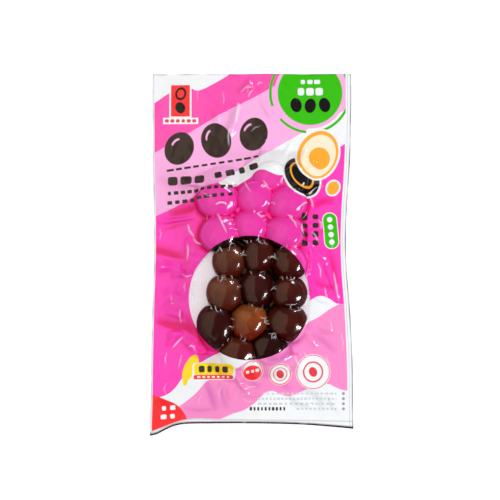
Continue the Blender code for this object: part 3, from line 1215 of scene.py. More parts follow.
# Edges of the printed colours, as plan points from the left side of the sheet to the right
CORNER_EDGE = (
    (-60.0, 89.5), (-57.9, 90.8), (-50.7, 95.8), (-44.0, 98.9), (-37.4, 99.4), (-33.2, 97.8),
    (-29.6, 98.7), (-23.5, 101.8), (-13.3, 108.1), (-8.0, 112.0), (60.0, 112.0),
)
DEEP_EDGE = (
    (-60.0, 59.2), (-52.4, 63.5), (-33.1, 75.0), (-16.3, 84.8), (6.0, 96.3), (12.1, 99.9),
    (32.0, 112.0), (60.0, 112.0),
)
LIGHT_EDGE = (
    (-60.0, 20.6), (-57.5, 21.8), (-46.1, 27.2), (-36.8, 32.0), (-30.6, 36.0), (-25.8, 38.8),
    (-20.0, 40.3), (-10.2, 47.6), (3.6, 56.4), (28.9, 71.4), (41.0, 78.7), (56.1, 85.9),
    (60.0, 88.0),
)
BAND_EDGE = (
    (-60.0, 56.0), (-26.0, 46.0), (-20.0, 40.3), (-15.8, 37.3), (-11.2, 37.8), (-7.1, 39.8),
    (-1.2, 43.5), (2.9, 47.2), (6.4, 47.7), (10.5, 46.1), (15.2, 44.4), (18.7, 44.6),
    (22.2, 45.3), (43.8, 56.7), (49.9, 61.6), (54.8, 64.7), (60.0, 67.5),
)
SWOOSH_EDGE = (
    (-60.0, -87.5), (-54.5, -85.9), (-49.8, -84.1), (-45.7, -80.6), (-39.8, -72.9),
    (-33.8, -68.1), (-27.9, -64.0), (-18.1, -58.7), (8.0, -45.0), (32.9, -29.7), (40.4, -26.1),
    (46.4, -27.9), (50.0, -30.3), (60.0, -30.3),
)
BLUSH_EDGE = (
    (-60.0, -99.0), (-49.7, -95.2), (-43.8, -91.7), (-37.9, -87.6), (-32.0, -82.3),
    (-27.9, -77.6), (-21.9, -74.0), (-9.3, -68.5), (-4.1, -64.9), (0.5, -62.7), (15.0, -53.0),
    (30.8, -43.0), (40.4, -38.0), (46.4, -33.8), (53.0, -30.3), (60.0, -26.0),
)
BASE_EDGE = (
    (-60.0, -98.8), (-19.0, -98.8), (-11.9, -95.9), (-4.8, -93.6), (0.0, -90.6), (4.1, -87.0),
    (7.7, -83.5), (12.4, -82.3), (16.6, -84.1), (21.3, -85.3), (26.1, -84.1), (31.4, -81.8),
    (37.4, -80.0), (45.1, -78.2), (49.2, -80.0), (54.0, -81.8), (60.0, -82.0),
)
RED_EDGE = (
    (-60.0, -84.1), (-58.4, -84.7), (-51.6, -87.3), (-43.2, -91.7), (-38.5, -98.7),
    (-36.0, -108.0), (60.0, -112.0),
)
STRIP_EDGE = ((-60.0, -105.9), (-55.3, -104.2), (-38.5, -98.9), (-19.0, -98.9), (60.0, -99.8))

# Plain shapes in the places of the pack's pictures, marks and words
EGG_BADGE = (
    Bar(Ink.WHITE, -43.2, 91.6, 6.7, 10.6, 0.0, 0.8),
    Bar(Ink.RED, -43.2, 91.6, 5.7, 9.6, 0.0, 0.4),
    Ring(Ink.BLACK, -43.0, 95.9, 2.7, 3.3, -15.0, 1.2),
    Oval(Ink.BLACK, -43.3, 87.4, 2.9, 3.5, 20.0),
    Dashes(Ink.WHITE, -53.6, 79.4, 10.6, 1.9, 0.0, 21.2, 1.2),
    Dashes(Ink.SEAL_RED, -53.0, 79.4, 9.9, 1.0, 0.0, 3.3, 0.7),
)
DARK_EGGS = (
    Oval(Ink.CHOCOLATE, -43.8, 62.6, 8.6, 10.2, -24.0),
    Oval(Ink.CHOCOLATE, -21.6, 67.4, 9.0, 10.6, 14.0),
    Oval(Ink.CHOCOLATE, 1.0, 71.2, 8.4, 10.2, -12.0),
    Oval(Ink.LIGHT_PINK, -46.0, 66.6, 1.3, 3.0, -48.0),
    Oval(Ink.CHOCOLATE, -45.2, 65.6, 1.3, 3.0, -48.0),
    Oval(Ink.LIGHT_PINK, -26.4, 70.6, 1.3, 3.2, -18.0),
    Oval(Ink.CHOCOLATE, -25.4, 69.8, 1.3, 3.2, -18.0),
    Oval(Ink.LIGHT_PINK, -2.6, 75.4, 1.3, 3.0, -44.0),
    Oval(Ink.CHOCOLATE, -1.8, 74.4, 1.3, 3.0, -44.0),
    Dashes(Ink.CHOCOLATE, -51.6, 48.9, 29.0, 0.7, 8.7, 5.2, 0.72),
    Dashes(Ink.CHOCOLATE, -51.6, 42.6, 12.2, 2.6, 2.0, 8.1, 0.72),
    Dashes(Ink.CHOCOLATE, -23.6, 44.8, 14.5, 2.1, 13.0, 7.2, 0.62),
    Dashes(Ink.CHOCOLATE, -51.6, 35.2, 21.0, 1.1, 4.0, 4.1, 0.6),
    Dashes(Ink.CHOCOLATE, -51.6, 29.4, 21.0, 1.1, 5.5, 4.6, 0.64),
)
GREEN_BADGE = (
    Oval(Ink.LIGHT_PINK, 35.0, 96.4, 21.6, 21.6),
    Oval(Ink.GREEN, 35.0, 96.4, 19.5, 19.5),
    Dashes(Ink.WHITE, 28.6, 103.2, 6.4, 1.3, 0.0, 4.3, 0.7),
    Dashes(Ink.WHITE, 26.8, 97.2, 8.2, 2.3, 0.0, 5.5, 0.78),
    Oval(Ink.BLACK, 26.6, 89.0, 3.4, 4.4, 12.0),
    Oval(Ink.BLACK, 35.2, 88.6, 3.4, 4.4, -10.0),
    Oval(Ink.BLACK, 43.8, 89.0, 3.4, 4.4, 14.0),
)
CUT_EGG = (
    Oval(Ink.WHITE, 29.6, 44.6, 10.6, 13.6, 38.0),
    Oval(Ink.BLACK, 29.6, 44.6, 9.4, 12.4, 38.0),
    Ring(Ink.ORANGE, 29.4, 45.0, 5.6, 8.4, 38.0, 0.9),
    Oval(Ink.WHITE, 39.4, 58.4, 13.2, 16.6, -24.0),
    Oval(Ink.ORANGE, 39.4, 58.4, 12.0, 15.4, -24.0),
    Oval(Ink.CREAM, 39.6, 58.0, 10.2, 13.4, -24.0),
    Oval(Ink.ORANGE, 40.4, 56.4, 6.4, 6.8, 0.0),
    Oval(Ink.WHITE, 48.6, 38.6, 4.4, 5.2, -30.0),
    Oval(Ink.ORANGE, 48.6, 38.6, 3.4, 4.2, -30.0),
)
SIDE_MARKS = (
    Dashes(Ink.CHOCOLATE, 31.2, 23.4, 10.4, 2.0, -90.0, 5.2, 0.7),
    Dashes(Ink.CHOCOLATE, 37.9, 23.8, 10.4, 1.8, -90.0, 5.2, 0.66),
    Bar(Ink.WHITE, 47.1, 12.9, 4.5, 11.0, 5.0, 4.4),
    Bar(Ink.GREEN, 47.1, 12.9, 4.0, 10.5, 5.0, 3.9),
    Oval(Ink.WHITE, 46.5, 19.6, 1.6, 1.6),
    Oval(Ink.WHITE, 46.9, 15.1, 1.6, 1.6),
    Oval(Ink.WHITE, 47.3, 10.6, 1.6, 1.6),
    Oval(Ink.WHITE, 47.7, 6.1, 1.6, 1.6),
)
LOWER_BADGES = (
    Oval(Ink.YELLOW, -36.6, -68.6, 3.6, 8.4, -26.0),
    Oval(Ink.YELLOW, -39.6, -76.0, 1.5, 3.4, -8.0),
    Bar(Ink.WHITE, -22.6, -70.6, 12.8, 5.2, 1.0, 2.6),
    Bar(Ink.YELLOW, -22.6, -69.2, 11.8, 3.5, 1.0, 2.2),
    Dashes(Ink.CHOCOLATE, -32.2, -69.4, 9.4, 2.0, 1.0, 4.7, 0.7),
    Bar(Ink.RED, -22.9, -74.0, 11.8, 1.3, 1.0, 1.0),
    Dashes(Ink.WHITE, -33.0, -74.1, 9.8, 0.5, 1.0, 2.9, 0.6),
    Oval(Ink.WHITE, 0.3, -69.9, 6.3, 6.6, 10.0),
    Oval(Ink.RED, 0.1, -71.2, 5.3, 4.6, 12.0),
    Dashes(Ink.WHITE, -4.0, -71.0, 4.2, 0.9, 10.0, 2.9, 0.6),
    Ring(Ink.SEAL_RED, 0.3, -69.9, 5.7, 6.0, 10.0, 0.5),
    Oval(Ink.WHITE, 16.6, -72.2, 6.8, 6.8),
    Ring(Ink.SEAL_RED, 16.6, -72.2, 6.2, 6.2, 0.0, 0.6),
    Ring(Ink.SEAL_RED, 16.6, -72.2, 4.0, 4.0, 0.0, 0.5),
    Oval(Ink.SEAL_RED, 16.6, -72.2, 2.2, 2.8, 20.0),
    Oval(Ink.WHITE, 36.2, -71.1, 10.3, 10.5),
    Ring(Ink.SEAL_RED, 36.2, -71.1, 9.7, 9.9, 0.0, 0.45),
    Ring(Ink.SEAL_RED, 36.2, -71.1, 5.6, 5.8, 0.0, 0.9),
    Oval(Ink.SEAL_RED, 36.2, -71.1, 2.4, 3.0, 25.0),
)
PALE_LINES = (
    Dashes(Ink.GHOST, 8.0, -83.9, 21.0, 0.55, 0.0, 2.9, 0.62),
    Dashes(Ink.GHOST, 3.0, -86.9, 23.5, 0.65, 0.0, 2.3, 0.66),
    Dashes(Ink.GHOST, 3.0, -89.9, 23.5, 0.65, 0.0, 3.1, 0.60),
    Dashes(Ink.GHOST, 26.0, -92.9, 12.0, 0.6, 0.0, 2.5, 0.62),
    Oval(Ink.DOT_GREY, 54.2, -83.9, 0.9, 0.9),
    Oval(Ink.DOT_GREY, 54.2, -86.9, 0.9, 0.9),
    Oval(Ink.DOT_GREY, 54.2, -89.9, 0.9, 0.9),
    Oval(Ink.DOT_GREY, 54.2, -92.9, 0.9, 0.9),
    Dashes(Ink.CHOCOLATE, -1.8, -92.8, 11.0, 1.1, 0.0, 2.2, 0.6),
    Dashes(Ink.WHITE, -54.6, -92.6, 4.6, 1.3, 4.0, 5.2, 0.6),
    Dashes(Ink.WHITE, -54.8, -97.6, 4.8, 1.3, 4.0, 5.2, 0.6),
)
PRINT = (
    *EGG_BADGE,
    *DARK_EGGS,
    *GREEN_BADGE,
    *CUT_EGG,
    *SIDE_MARKS,
    *LOWER_BADGES,
    *PALE_LINES,
)


@dataclass(frozen=True)
class PrintedFilm:
    """The front film's finish: fields of colour and plain shapes under a glossy face.

    The held pink is the hot pink where the film lies on an egg, and the glint share is how far the
    print is painted white along a crease, as a painted highlight. The borders bound the print
    across the pack, in mm.
    """

    groups: GroupMaker
    form: FilmForm
    roughness: float = 0.15
    gloss: float = 0.8
    grain_height: float = 0.10
    grain_scale: float = 260.0
    left_border: float = -59.0
    right_border: float = 56.6
    held_pink: Colour = linear(230, 56, 160)
    glint_share: float = 0.55
    # Width in mm of the painted shadow along the pack's edges
    edge_shadow_width: float = 1.0

    def edge(
        self, bench: Bench, plan: bpy.types.NodeSocket, points: tuple[Point, ...]
    ) -> bpy.types.NodeSocket:
        """The mask of what lies below an edge through plan points.

        Args:
            bench: The material's bench.
            plan: The plan position.
            points: The edge's points from left to right, in mm.

        Returns:
            The mask.
        """
        width, height = self.form.width, 2 * EDGE_SPAN
        share = bench.math("MULTIPLY_ADD", bench.split(plan)[0], 1 / width, 0.5)
        node = bench.add("ShaderNodeFloatCurve")
        curve = node.mapping.curves[0]
        spots = [((x + width / 2) / width, (y + EDGE_SPAN) / height) for x, y in points]
        curve.points[0].location = spots[0]
        curve.points[1].location = spots[-1]
        for spot in spots[1:-1]:
            curve.points.new(*spot)
        node.mapping.update()
        bench.feed(node, Value=share)
        level = bench.math("MULTIPLY_ADD", node.outputs[0], height, -EDGE_SPAN)
        return bench.group(self.groups.below, Plan=plan, Edge=level).outputs[0]

    def fields(self, bench: Bench, plan: bpy.types.NodeSocket) -> bpy.types.NodeSocket:
        """The large fields of colour, painted from the top of the pack to its bottom.

        Args:
            bench: The material's bench.
            plan: The plan position.

        Returns:
            The colour.
        """
        light = self.edge(bench, plan, LIGHT_EDGE)
        band = bench.math("MULTIPLY", self.edge(bench, plan, BAND_EDGE), light)
        swoosh = self.edge(bench, plan, SWOOSH_EDGE)
        blush = bench.math("MULTIPLY", self.edge(bench, plan, BLUSH_EDGE), swoosh)
        # Painted shade: in the film's hollows and folds and on the heap's upper flanks each field
        # takes its shaded ink
        hollow = bench.share(PAINTED_SHADE)
        lying = bench.share(ON_EGG)
        colour = bench.mix(hollow, Ink.WHITE.value, ShadedInk.WHITE.value)
        for mask, ink in (
            (self.edge(bench, plan, CORNER_EDGE), Ink.DEEP_PINK),
            (self.edge(bench, plan, DEEP_EDGE), Ink.LIGHT_PINK),
            (light, Ink.WHITE),
            (band, Ink.HOT_PINK),
            (swoosh, Ink.WHITE),
            (blush, Ink.BLUSH),
            (self.edge(bench, plan, BASE_EDGE), Ink.WHITE),
            (self.edge(bench, plan, RED_EDGE), Ink.RED),
        ):
            plain = ink.value
            if ink is Ink.HOT_PINK:
                plain = bench.mix(lying, plain, self.held_pink)
            colour = bench.mix(mask, colour, bench.mix(hollow, plain, ShadedInk[ink.name].value))
        return colour

    def mask(
        self, bench: Bench, plan: bpy.types.NodeSocket, shape: Shape
    ) -> bpy.types.NodeSocket:
        """The mask of one printed shape.

        Args:
            bench: The material's bench.
            plan: The plan position.
            shape: The printed shape.

        Returns:
            The mask.
        """
        centre = (shape.x, shape.y, 0.0)
        half = (shape.half_x, shape.half_y, 1.0)
        placed = {"Plan": plan, "Centre": centre, "Turn": shape.turn}
        if isinstance(shape, Dashes):
            node = bench.group(
                self.groups.dashes,
                **placed,
                Length=2 * shape.half_x,
                Height=2 * shape.half_y,
                Pitch=shape.pitch,
                Fill=shape.fill,
            )
        elif isinstance(shape, Ring):
            node = bench.group(self.groups.ring, **placed, Half_Size=half, Band=shape.band)
        elif isinstance(shape, Bar):
            node = bench.group(self.groups.bar, **placed, Half_Size=half, Round=shape.round)
        else:
            node = bench.group(self.groups.oval, **placed, Half_Size=half)
        return node.outputs[0]

    def arcs(self, bench: Bench, plan: bpy.types.NodeSocket) -> bpy.types.NodeSocket:
        """The broken green ring round the green badge.

        Args:
            bench: The material's bench.
            plan: The plan position.

        Returns:
            The mask.
        """
        ring = self.mask(bench, plan, Ring(Ink.GREEN, 35.0, 96.4, 23.9, 23.9, 0.0, 1.6))
        for gap in (
            Oval(Ink.GREEN, 13.0, 83.5, 5.0, 5.0),
            Oval(Ink.GREEN, 37.0, 72.0, 4.4, 4.4),
            Oval(Ink.GREEN, 57.6, 96.0, 5.0, 7.0),
        ):
            ring = bench.math("SUBTRACT", ring, self.mask(bench, plan, gap), clamp=True)
        return ring

    def colour(self, bench: Bench) -> bpy.types.NodeSocket:
        """The whole print, with the bare white strips along the sides and the bottom.

        Args:
            bench: The material's bench.

        Returns:
            The colour.
        """
        plan = bench.plan()
        colour = self.fields(bench, plan)
        colour = bench.mix(self.arcs(bench, plan), colour, Ink.GREEN.value)
        for shape in PRINT:
            colour = bench.mix(self.mask(bench, plan, shape), colour, shape.colour.value)
        colour = self.creased(bench, colour)
        strip = self.edge(bench, plan, STRIP_EDGE)
        sheet = bench.add("ShaderNodeUVMap", uv_map=SHEET_MAP).outputs[0]
        width = self.form.width
        across = bench.math("MULTIPLY_ADD", bench.split(sheet)[0], width, -width / 2)
        for way, border in ((-1.0, -self.left_border), (1.0, self.right_border)):
            past = bench.math("MULTIPLY_ADD", across, way, -border)
            outside = bench.math("MULTIPLY_ADD", past, 1 / self.groups.soft, 0.5, clamp=True)
            strip = bench.math("MAXIMUM", strip, outside)
        colour = bench.mix(strip, colour, Ink.WHITE.value)
        for middle, half in ((-0.4, 0.35), (-3.2, 0.25)):
            lower, upper = (
                self.edge(bench, plan, tuple((x, y + middle + shift) for x, y in STRIP_EDGE))
                for shift in (-half, half)
            )
            line = bench.math("MULTIPLY", bench.math("SUBTRACT", upper, lower, clamp=True), 0.5)
            colour = bench.mix(line, colour, Ink.SEAL_GREY.value)
        away = bench.math("ABSOLUTE", bench.math("SUBTRACT", across, self.right_border + 1.2))
        line = bench.math("SUBTRACT", 0.5, bench.math("MULTIPLY", away, 1.2), clamp=True)
        colour = bench.mix(line, colour, Ink.SEAL_GREY.value)
        return self.painted_edge_shadows(bench, colour, sheet)

    def painted_edge_shadows(
        self, bench: Bench, colour: bpy.types.NodeSocket, sheet: bpy.types.NodeSocket
    ) -> bpy.types.NodeSocket:
        """The print with a painted shadow along the pack's edges, strongest along the bottom.

        Args:
            bench: The material's bench.
            colour: The colour so far.
            sheet: The position on the sheet's own UV map.

        Returns:
            The colour.
        """
        share_x, share_y, _ = bench.split(sheet)
        noise = bench.noise(sheet, Scale=14.0, Detail=2.0)
        for share, side, length, strength in (
            (share_y, 0.0, 0.5 * self.form.length, 1.1),
            (share_x, 1.0, self.form.width, 0.62),
            (share_x, 0.0, self.form.width, 0.26),
            (share_y, 1.0, self.form.length, 0.18),
        ):
            gap = bench.math("ABSOLUTE", bench.math("SUBTRACT", share, side))
            gap = bench.math("MULTIPLY", gap, length / self.edge_shadow_width)
            mask = bench.math("SUBTRACT", 1.6, bench.math("MULTIPLY", gap, 1.6), clamp=True)
            uneven = bench.math("MULTIPLY_ADD", noise, 1.6, strength - 0.8, clamp=True)
            colour = bench.mix(bench.math("MULTIPLY", mask, uneven), colour, Ink.CUT_GREY.value)
        return colour

    def creased(self, bench: Bench, colour: bpy.types.NodeSocket) -> bpy.types.NodeSocket:
        """The print, painted paler along the film's sharp creases and pleats as a painted
        highlight.
        """
        painted_glint = bench.math("MULTIPLY", bench.share(PLEAT), self.glint_share)
        return bench.mix(painted_glint, colour, Ink.WHITE.value)

    def build(self) -> bpy.types.Material:
        """Make the material.

        Returns:
            The material.
        """
        made, bench, shader = new_finish("printed_film")
        grain = bench.group(self.groups.film_grain, Position=bench.place(), Scale=self.grain_scale)
        bump = bench.bump(self.grain_height, 0.3, grain.outputs[0])
        rough = bench.math("MULTIPLY_ADD", grain.outputs[1], 0.08, self.roughness - 0.04)
        # Full gloss where the film is flatter than 30 degrees, and none where steeper than 58
        upright = bench.normal()[2]
        gloss = bench.math("MULTIPLY_ADD", upright, 3.0 * self.gloss, -1.6 * self.gloss, clamp=True)
        gloss = bench.math("MINIMUM", gloss, self.gloss)
        bench.feed(shader, Base_Color=self.colour(bench), Roughness=rough, Normal=bump)
        bench.feed(shader, Specular_IOR_Level=gloss)
        return made


@dataclass(frozen=True)
class ClearFilm:
    """The window's finish: clear film, dull on the eggs' steep sides and in the wet pits.

    It mirrors at most the most_gloss share of the light, and along its pleats it is a soft white,
    up to the glint share: partly the haze of folded film, partly a painted highlight.
    """

    groups: GroupMaker
    roughness: float = 0.15
    ior: float = 1.8
    most_gloss: float = 0.10
    pleat_haze: float = 0.25
    glint_share: float = 0.5

    def build(self) -> bpy.types.Material:
        """Make the material.

        Returns:
            The material.
        """
        made, bench, shader = new_finish("clear_film")
        grain = bench.group(self.groups.film_grain, Position=bench.place(), Scale=150.0)
        shader.inputs["Base Color"].default_value = (1.0, 1.0, 1.0, 1.0)
        pleat = bench.share(PLEAT)
        bench.feed(shader, Metallic=bench.math("MULTIPLY_ADD", pleat, -6.0, 1.0, clamp=True))
        rough = bench.math("MULTIPLY_ADD", grain.outputs[1], 0.02, self.roughness - 0.01)
        rough = bench.math("MULTIPLY_ADD", pleat, self.pleat_haze, rough)
        bench.feed(shader, Roughness=rough)
        clear = bench.add("ShaderNodeBsdfTransparent")
        clear.inputs["Color"].default_value = (0.98, 0.98, 0.98, 1.0)
        fresnel = bench.add("ShaderNodeFresnel")
        fresnel.inputs["IOR"].default_value = self.ior
        # Full gloss where the film is flatter than 27 degrees, and none where steeper than 49
        facing = bench.math("MULTIPLY_ADD", bench.normal()[2], 4.2, -2.75, clamp=True)
        dry = bench.math("MULTIPLY_ADD", bench.share(PAINTED_SHADE), -1.2, 1.0, clamp=True)
        most = bench.math("MULTIPLY", bench.math("MULTIPLY", facing, dry), self.most_gloss)
        gloss = bench.math("MINIMUM", fresnel.outputs[0], most)
        # Along the pleats a soft white: partly the haze of folded film, partly a painted highlight
        share = bench.math("MAXIMUM", gloss, bench.math("MULTIPLY", pleat, self.glint_share))
        mixed = bench.add("ShaderNodeMixShader")
        bench.join(share, mixed.inputs[0])
        bench.join(clear.outputs[0], mixed.inputs[1])
        bench.join(shader.outputs[0], mixed.inputs[2])
        out = made.node_tree.nodes["Material Output"]
        bench.join(mixed.outputs[0], out.inputs["Surface"])
        return made


class BackSide(Enum):
    """The two faces of the back film, with their colours."""

    # White film with a faint pink that is painted light: the pink print's bounced glow
    INNER = linear(255, 245, 249)
    OUTER = linear(246, 246, 246)


@dataclass(frozen=True)
class BackFilm:
    """The back film's finish: white film, with dark braising liquid and painted shade in the pits
    inside, and pink bands outside.
    """

    groups: GroupMaker
    side: BackSide
    roughness: float = 0.22
    inner_bump: float = 0.45
    outer_bump: float = 0.12
    bands: tuple[float, float] = (98.0, -96.0)
    half_band: tuple[float, float, float] = (58.0, 7.0, 1.0)

    def build(self) -> bpy.types.Material:
        """Make the material.

        Returns:
            The material.
        """
        made, bench, shader = new_finish(f"back_film_{self.side.name.lower()}")
        grain = bench.group(self.groups.film_grain, Position=bench.place(), Scale=240.0)
        strength = self.inner_bump if self.side is BackSide.INNER else self.outer_bump
        bump = bench.bump(strength, 0.5, grain.outputs[0])
        rough = bench.math("MULTIPLY_ADD", grain.outputs[1], 0.1, self.roughness - 0.05)
        tint = bench.math("MULTIPLY", grain.outputs[1], 0.06)
        colour = bench.mix(tint, self.side.value, Ink.LIGHT_PINK.value)
        if self.side is BackSide.INNER:
            # Painted shade with the dark braising liquid, in the pits between the eggs
            juice = bench.share(JUICE)
            colour = bench.mix(juice, colour, Ink.JUICE.value)
            gloss = bench.math("MULTIPLY_ADD", juice, -0.5, 0.5, clamp=True)
            bench.feed(shader, Specular_IOR_Level=gloss)
        else:
            plan = bench.plan()
            for centre in self.bands:
                band = bench.group(
                    self.groups.bar,
                    Plan=plan,
                    Centre=(0.0, centre, 0.0),
                    Half_Size=self.half_band,
                    Round=1.0,
                )
                colour = bench.mix(band.outputs[0], colour, Ink.HOT_PINK.value)
        bench.feed(shader, Base_Color=colour, Roughness=rough, Normal=bump)
        return made


@dataclass(frozen=True)
class BraisedEgg:
    """An egg's finish: stained brown skin with mottling and small dark freckles.

    The side towards the pack's lower end, away from the far lamp, is painted a deeper and redder
    brown as painted shade.
    """

    tone: EggTone
    roughness: float = 0.36
    painted_shade_tint: tuple[float, float, float] = (0.66, 0.2, 0.15)

    def build(self) -> bpy.types.Material:
        """Make the material.

        Returns:
            The material.
        """
        made, bench, shader = new_finish(f"braised_egg_{self.tone.name.lower()}")
        where = bench.place()
        cloud = bench.noise(where, Scale=85.0, Detail=3.0, Roughness=0.55)
        freckle = bench.noise(where, Scale=620.0, Detail=2.0)
        dark = tuple(part * 0.55 for part in self.tone.value)
        pale = tuple(min(part * 1.35, 1.0) for part in self.tone.value)
        colour = bench.mix(bench.math("MULTIPLY_ADD", cloud, 2.6, -0.8, clamp=True), dark, pale)
        spots = bench.math("MULTIPLY_ADD", freckle, 7.0, -4.4, clamp=True)
        colour = bench.mix(bench.math("MULTIPLY", spots, 0.4), colour, dark)
        # Painted shade: a deeper, redder brown on the side towards the pack's lower end, away from
        # the far lamp
        deep = tuple(part * share for part, share in zip(self.tone.value, self.painted_shade_tint))
        lower = bench.math("MULTIPLY_ADD", bench.normal()[1], -1.3, 0.35, clamp=True)
        colour = bench.mix(lower, colour, deep)
        bump = bench.bump(0.15, 0.3, freckle)
        rough = bench.math("MULTIPLY_ADD", cloud, 0.16, self.roughness - 0.08)
        shader.inputs["Specular IOR Level"].default_value = 0.08
        bench.feed(shader, Base_Color=colour, Roughness=rough, Normal=bump)
        return made


@dataclass
class FilmPack:
    """The pack's films: the printed front with its rim, the clear window and the back.

    A hollow is found by its reach in grid steps and the depth in mm at which its painted shade is
    full. The spared shares are how much of that painted shade an egg and the heap's soft foot take
    off.
    """

    form: FilmForm
    window: Window
    groups: GroupMaker
    egg_step: float = 0.45
    margin_step: float = 0.6
    back_step: float = 1.6
    film: float = 0.12
    tuck: float = 0.15
    mound_x: float = 36.0
    mound_low: float = -73.0
    mound_high: float = 57.0
    fine_hollow: tuple[int, float] = (2, 0.6)
    broad_hollow: tuple[int, float] = (6, 1.8)
    spared_egg: float = 0.75
    spared_foot: float = 0.85
    full_fold: float = 2.2
    most_fold: float = 0.95
    flank_shade: float = 3.2

    def lines(self, low: float, field_low: float, field_high: float, high: float) -> Array:
        """Grid lines from low to high, close over the eggs and wider in the margins.

        Args:
            low: Where the lines start.
            field_low: Where the close lines start.
            field_high: Where the close lines end.
            high: Where the lines end.

        Returns:
            The positions of the lines.
        """
        spans = (
            (low, field_low, self.margin_step),
            (field_low, field_high, self.egg_step),
            (field_high, high, self.margin_step),
        )
        parts = []
        for start, end, step in spans:
            count = max(1, round((end - start) / step))
            parts.append(np.linspace(start, end, count, endpoint=False))
        return np.append(np.concatenate(parts), high)

    def flat_sheet(self, lines_x: Array, lines_y: Array) -> tuple[bpy.types.Mesh, Array]:
        """A grid on the given lines, with the sheet's own UV map.

        Args:
            lines_x: Positions of the lines across the pack.
            lines_y: Positions of the lines along it.

        Returns:
            The mesh, and its flat positions before the eggs draw it in.
        """
        columns, rows = len(lines_x) - 1, len(lines_y) - 1
        grid = bmesh.new()
        bmesh.ops.create_grid(grid, x_segments=columns, y_segments=rows, size=1)
        mesh = plain_mesh(grid, "sheet")
        spots = places(mesh) * MM
        column = np.rint((spots[:, 0] + 1) / 2 * columns).astype(int)
        row = np.rint((spots[:, 1] + 1) / 2 * rows).astype(int)
        flat = np.stack((lines_x[column], lines_y[row]), axis=1)
        corner = np.empty(len(mesh.loops), dtype=int)
        mesh.loops.foreach_get("vertex_index", corner)
        share = flat / (self.form.width, self.form.length) + 0.5
        uv = mesh.uv_layers.new(name=SHEET_MAP)
        uv.uv.foreach_set("vector", share[corner].ravel())
        return mesh, flat

    def front_mesh(self) -> tuple[bpy.types.Mesh, Array]:
        """The whole front film, with its grid fitted to the window's edge.

        Returns:
            The mesh, and which of its faces lie in the window.
        """
        half_x, half_y = self.form.width / 2, self.form.length / 2
        lines_x = self.lines(-half_x, -self.mound_x, self.mound_x, half_x)
        lines_y = self.lines(-half_y, self.mound_low, self.mound_high, half_y)
        mesh, flat = self.flat_sheet(lines_x, lines_y)
        x, y = self.form.drawn_in(flat[:, 0], flat[:, 1])
        corners = np.empty(len(mesh.loops), dtype=int)
        mesh.loops.foreach_get("vertex_index", corners)
        corners = corners.reshape(-1, 4)
        away = self.window.away(x, y)
        inside = away[corners].mean(axis=1) < self.window.radius
        shared = np.intersect1d(corners[inside], corners[~inside])
        shift = self.window.radius / away[shared]
        x[shared] = self.window.x + (x[shared] - self.window.x) * shift
        y[shared] = self.window.y + (y[shared] - self.window.y) * shift
        height = self.form.front_height(x, y)
        put(mesh, np.stack((x, y, height), axis=1))
        column, row = np.searchsorted(lines_x, flat[:, 0]), np.searchsorted(lines_y, flat[:, 1])
        grid = np.empty((len(lines_y), len(lines_x)))
        grid[row, column] = height
        lying = self.form.on_egg(x, y)
        # The inks' painted shade, from how deep the film lies among the points round it
        fine = self.form.hollows(grid, *self.fine_hollow)[row, column]
        broad = self.form.hollows(grid, *self.broad_hollow)[row, column]
        hollow = np.maximum(fine, broad * (1 - self.spared_egg * lying))
        deep = self.shaded(x, y, lying, hollow)
        for name, share in ((ON_EGG, lying), (PAINTED_SHADE, deep), (PLEAT, self.pleated(x, y))):
            mesh.attributes.new(name, "FLOAT", "POINT").data.foreach_set("value", share)
        return mesh, inside

    def shaded(self, x: Array, y: Array, lying: Array, hollow: Array) -> Array:
        """The painted shade of the film's inks in its hollows, its folds and on the heap's upper
        flanks.

        Args:
            x: Plan positions across the pack.
            y: Plan positions along the pack.
            lying: How far the film lies on an egg at each.
            hollow: How deep each lies among the points round it.

        Returns:
            A share from 0 to 1 at each position.
        """
        soft = self.form.soft_foot(x, y)
        deep = hollow * (1 - self.spared_foot * soft)
        # Painted shade in the margins' folds
        fold = np.clip(self.form.fold_depth(x, y) / self.full_fold, 0, self.most_fold)
        deep = np.maximum(deep, fold)
        # Painted shade on the heap's upper flanks
        flank = self.flank_shade * lying * (1 - lying) * ramp(y, 2.0, 6.0)
        return np.maximum(deep, flank * (1 - soft))

    def pleated(self, x: Array, y: Array) -> Array:
        """Where the film stands up in a pleat or a crease, from 0 to 1.

        Args:
            x: Plan positions across the pack.
            y: Plan positions along the pack.

        Returns:
            A share at each position.
        """
        pleat = ramp(self.form.pleat_rise(x, y), 0.18, 0.3)
        crease = ramp(self.form.crease_rise(x, y), 0.15, 0.3)
        return np.maximum(pleat, crease)

    def part_of(self, mesh: bpy.types.Mesh, drop: Array) -> bmesh.types.BMesh:
        """A copy of a mesh without some of its faces.

        Args:
            mesh: The mesh.
            drop: Which faces are left out.

        Returns:
            The copy.
        """
        made = bmesh.new()
        made.from_mesh(mesh)
        made.faces.ensure_lookup_table()
        gone = [made.faces[index] for index in np.nonzero(drop)[0]]
        bmesh.ops.delete(made, geom=gone, context="FACES")
        return made

    def refine(self, made: bmesh.types.BMesh) -> None:
        """Halve the window's grid, so that its small pleats are sharp.

        Args:
            made: The window's bmesh, which is changed.
        """
        bmesh.ops.subdivide_edges(made, edges=made.edges[:], cuts=1, use_grid_fill=True)
        new = [vert for vert in made.verts if not vert.is_boundary]
        x = np.array([vert.co.x for vert in new]) / MM
        y = np.array([vert.co.y for vert in new]) / MM
        layer = made.verts.layers.float[PLEAT]
        for vert, height, share in zip(new, self.form.front_height(x, y), self.pleated(x, y)):
            vert.co.z = height * MM
            vert[layer] = share

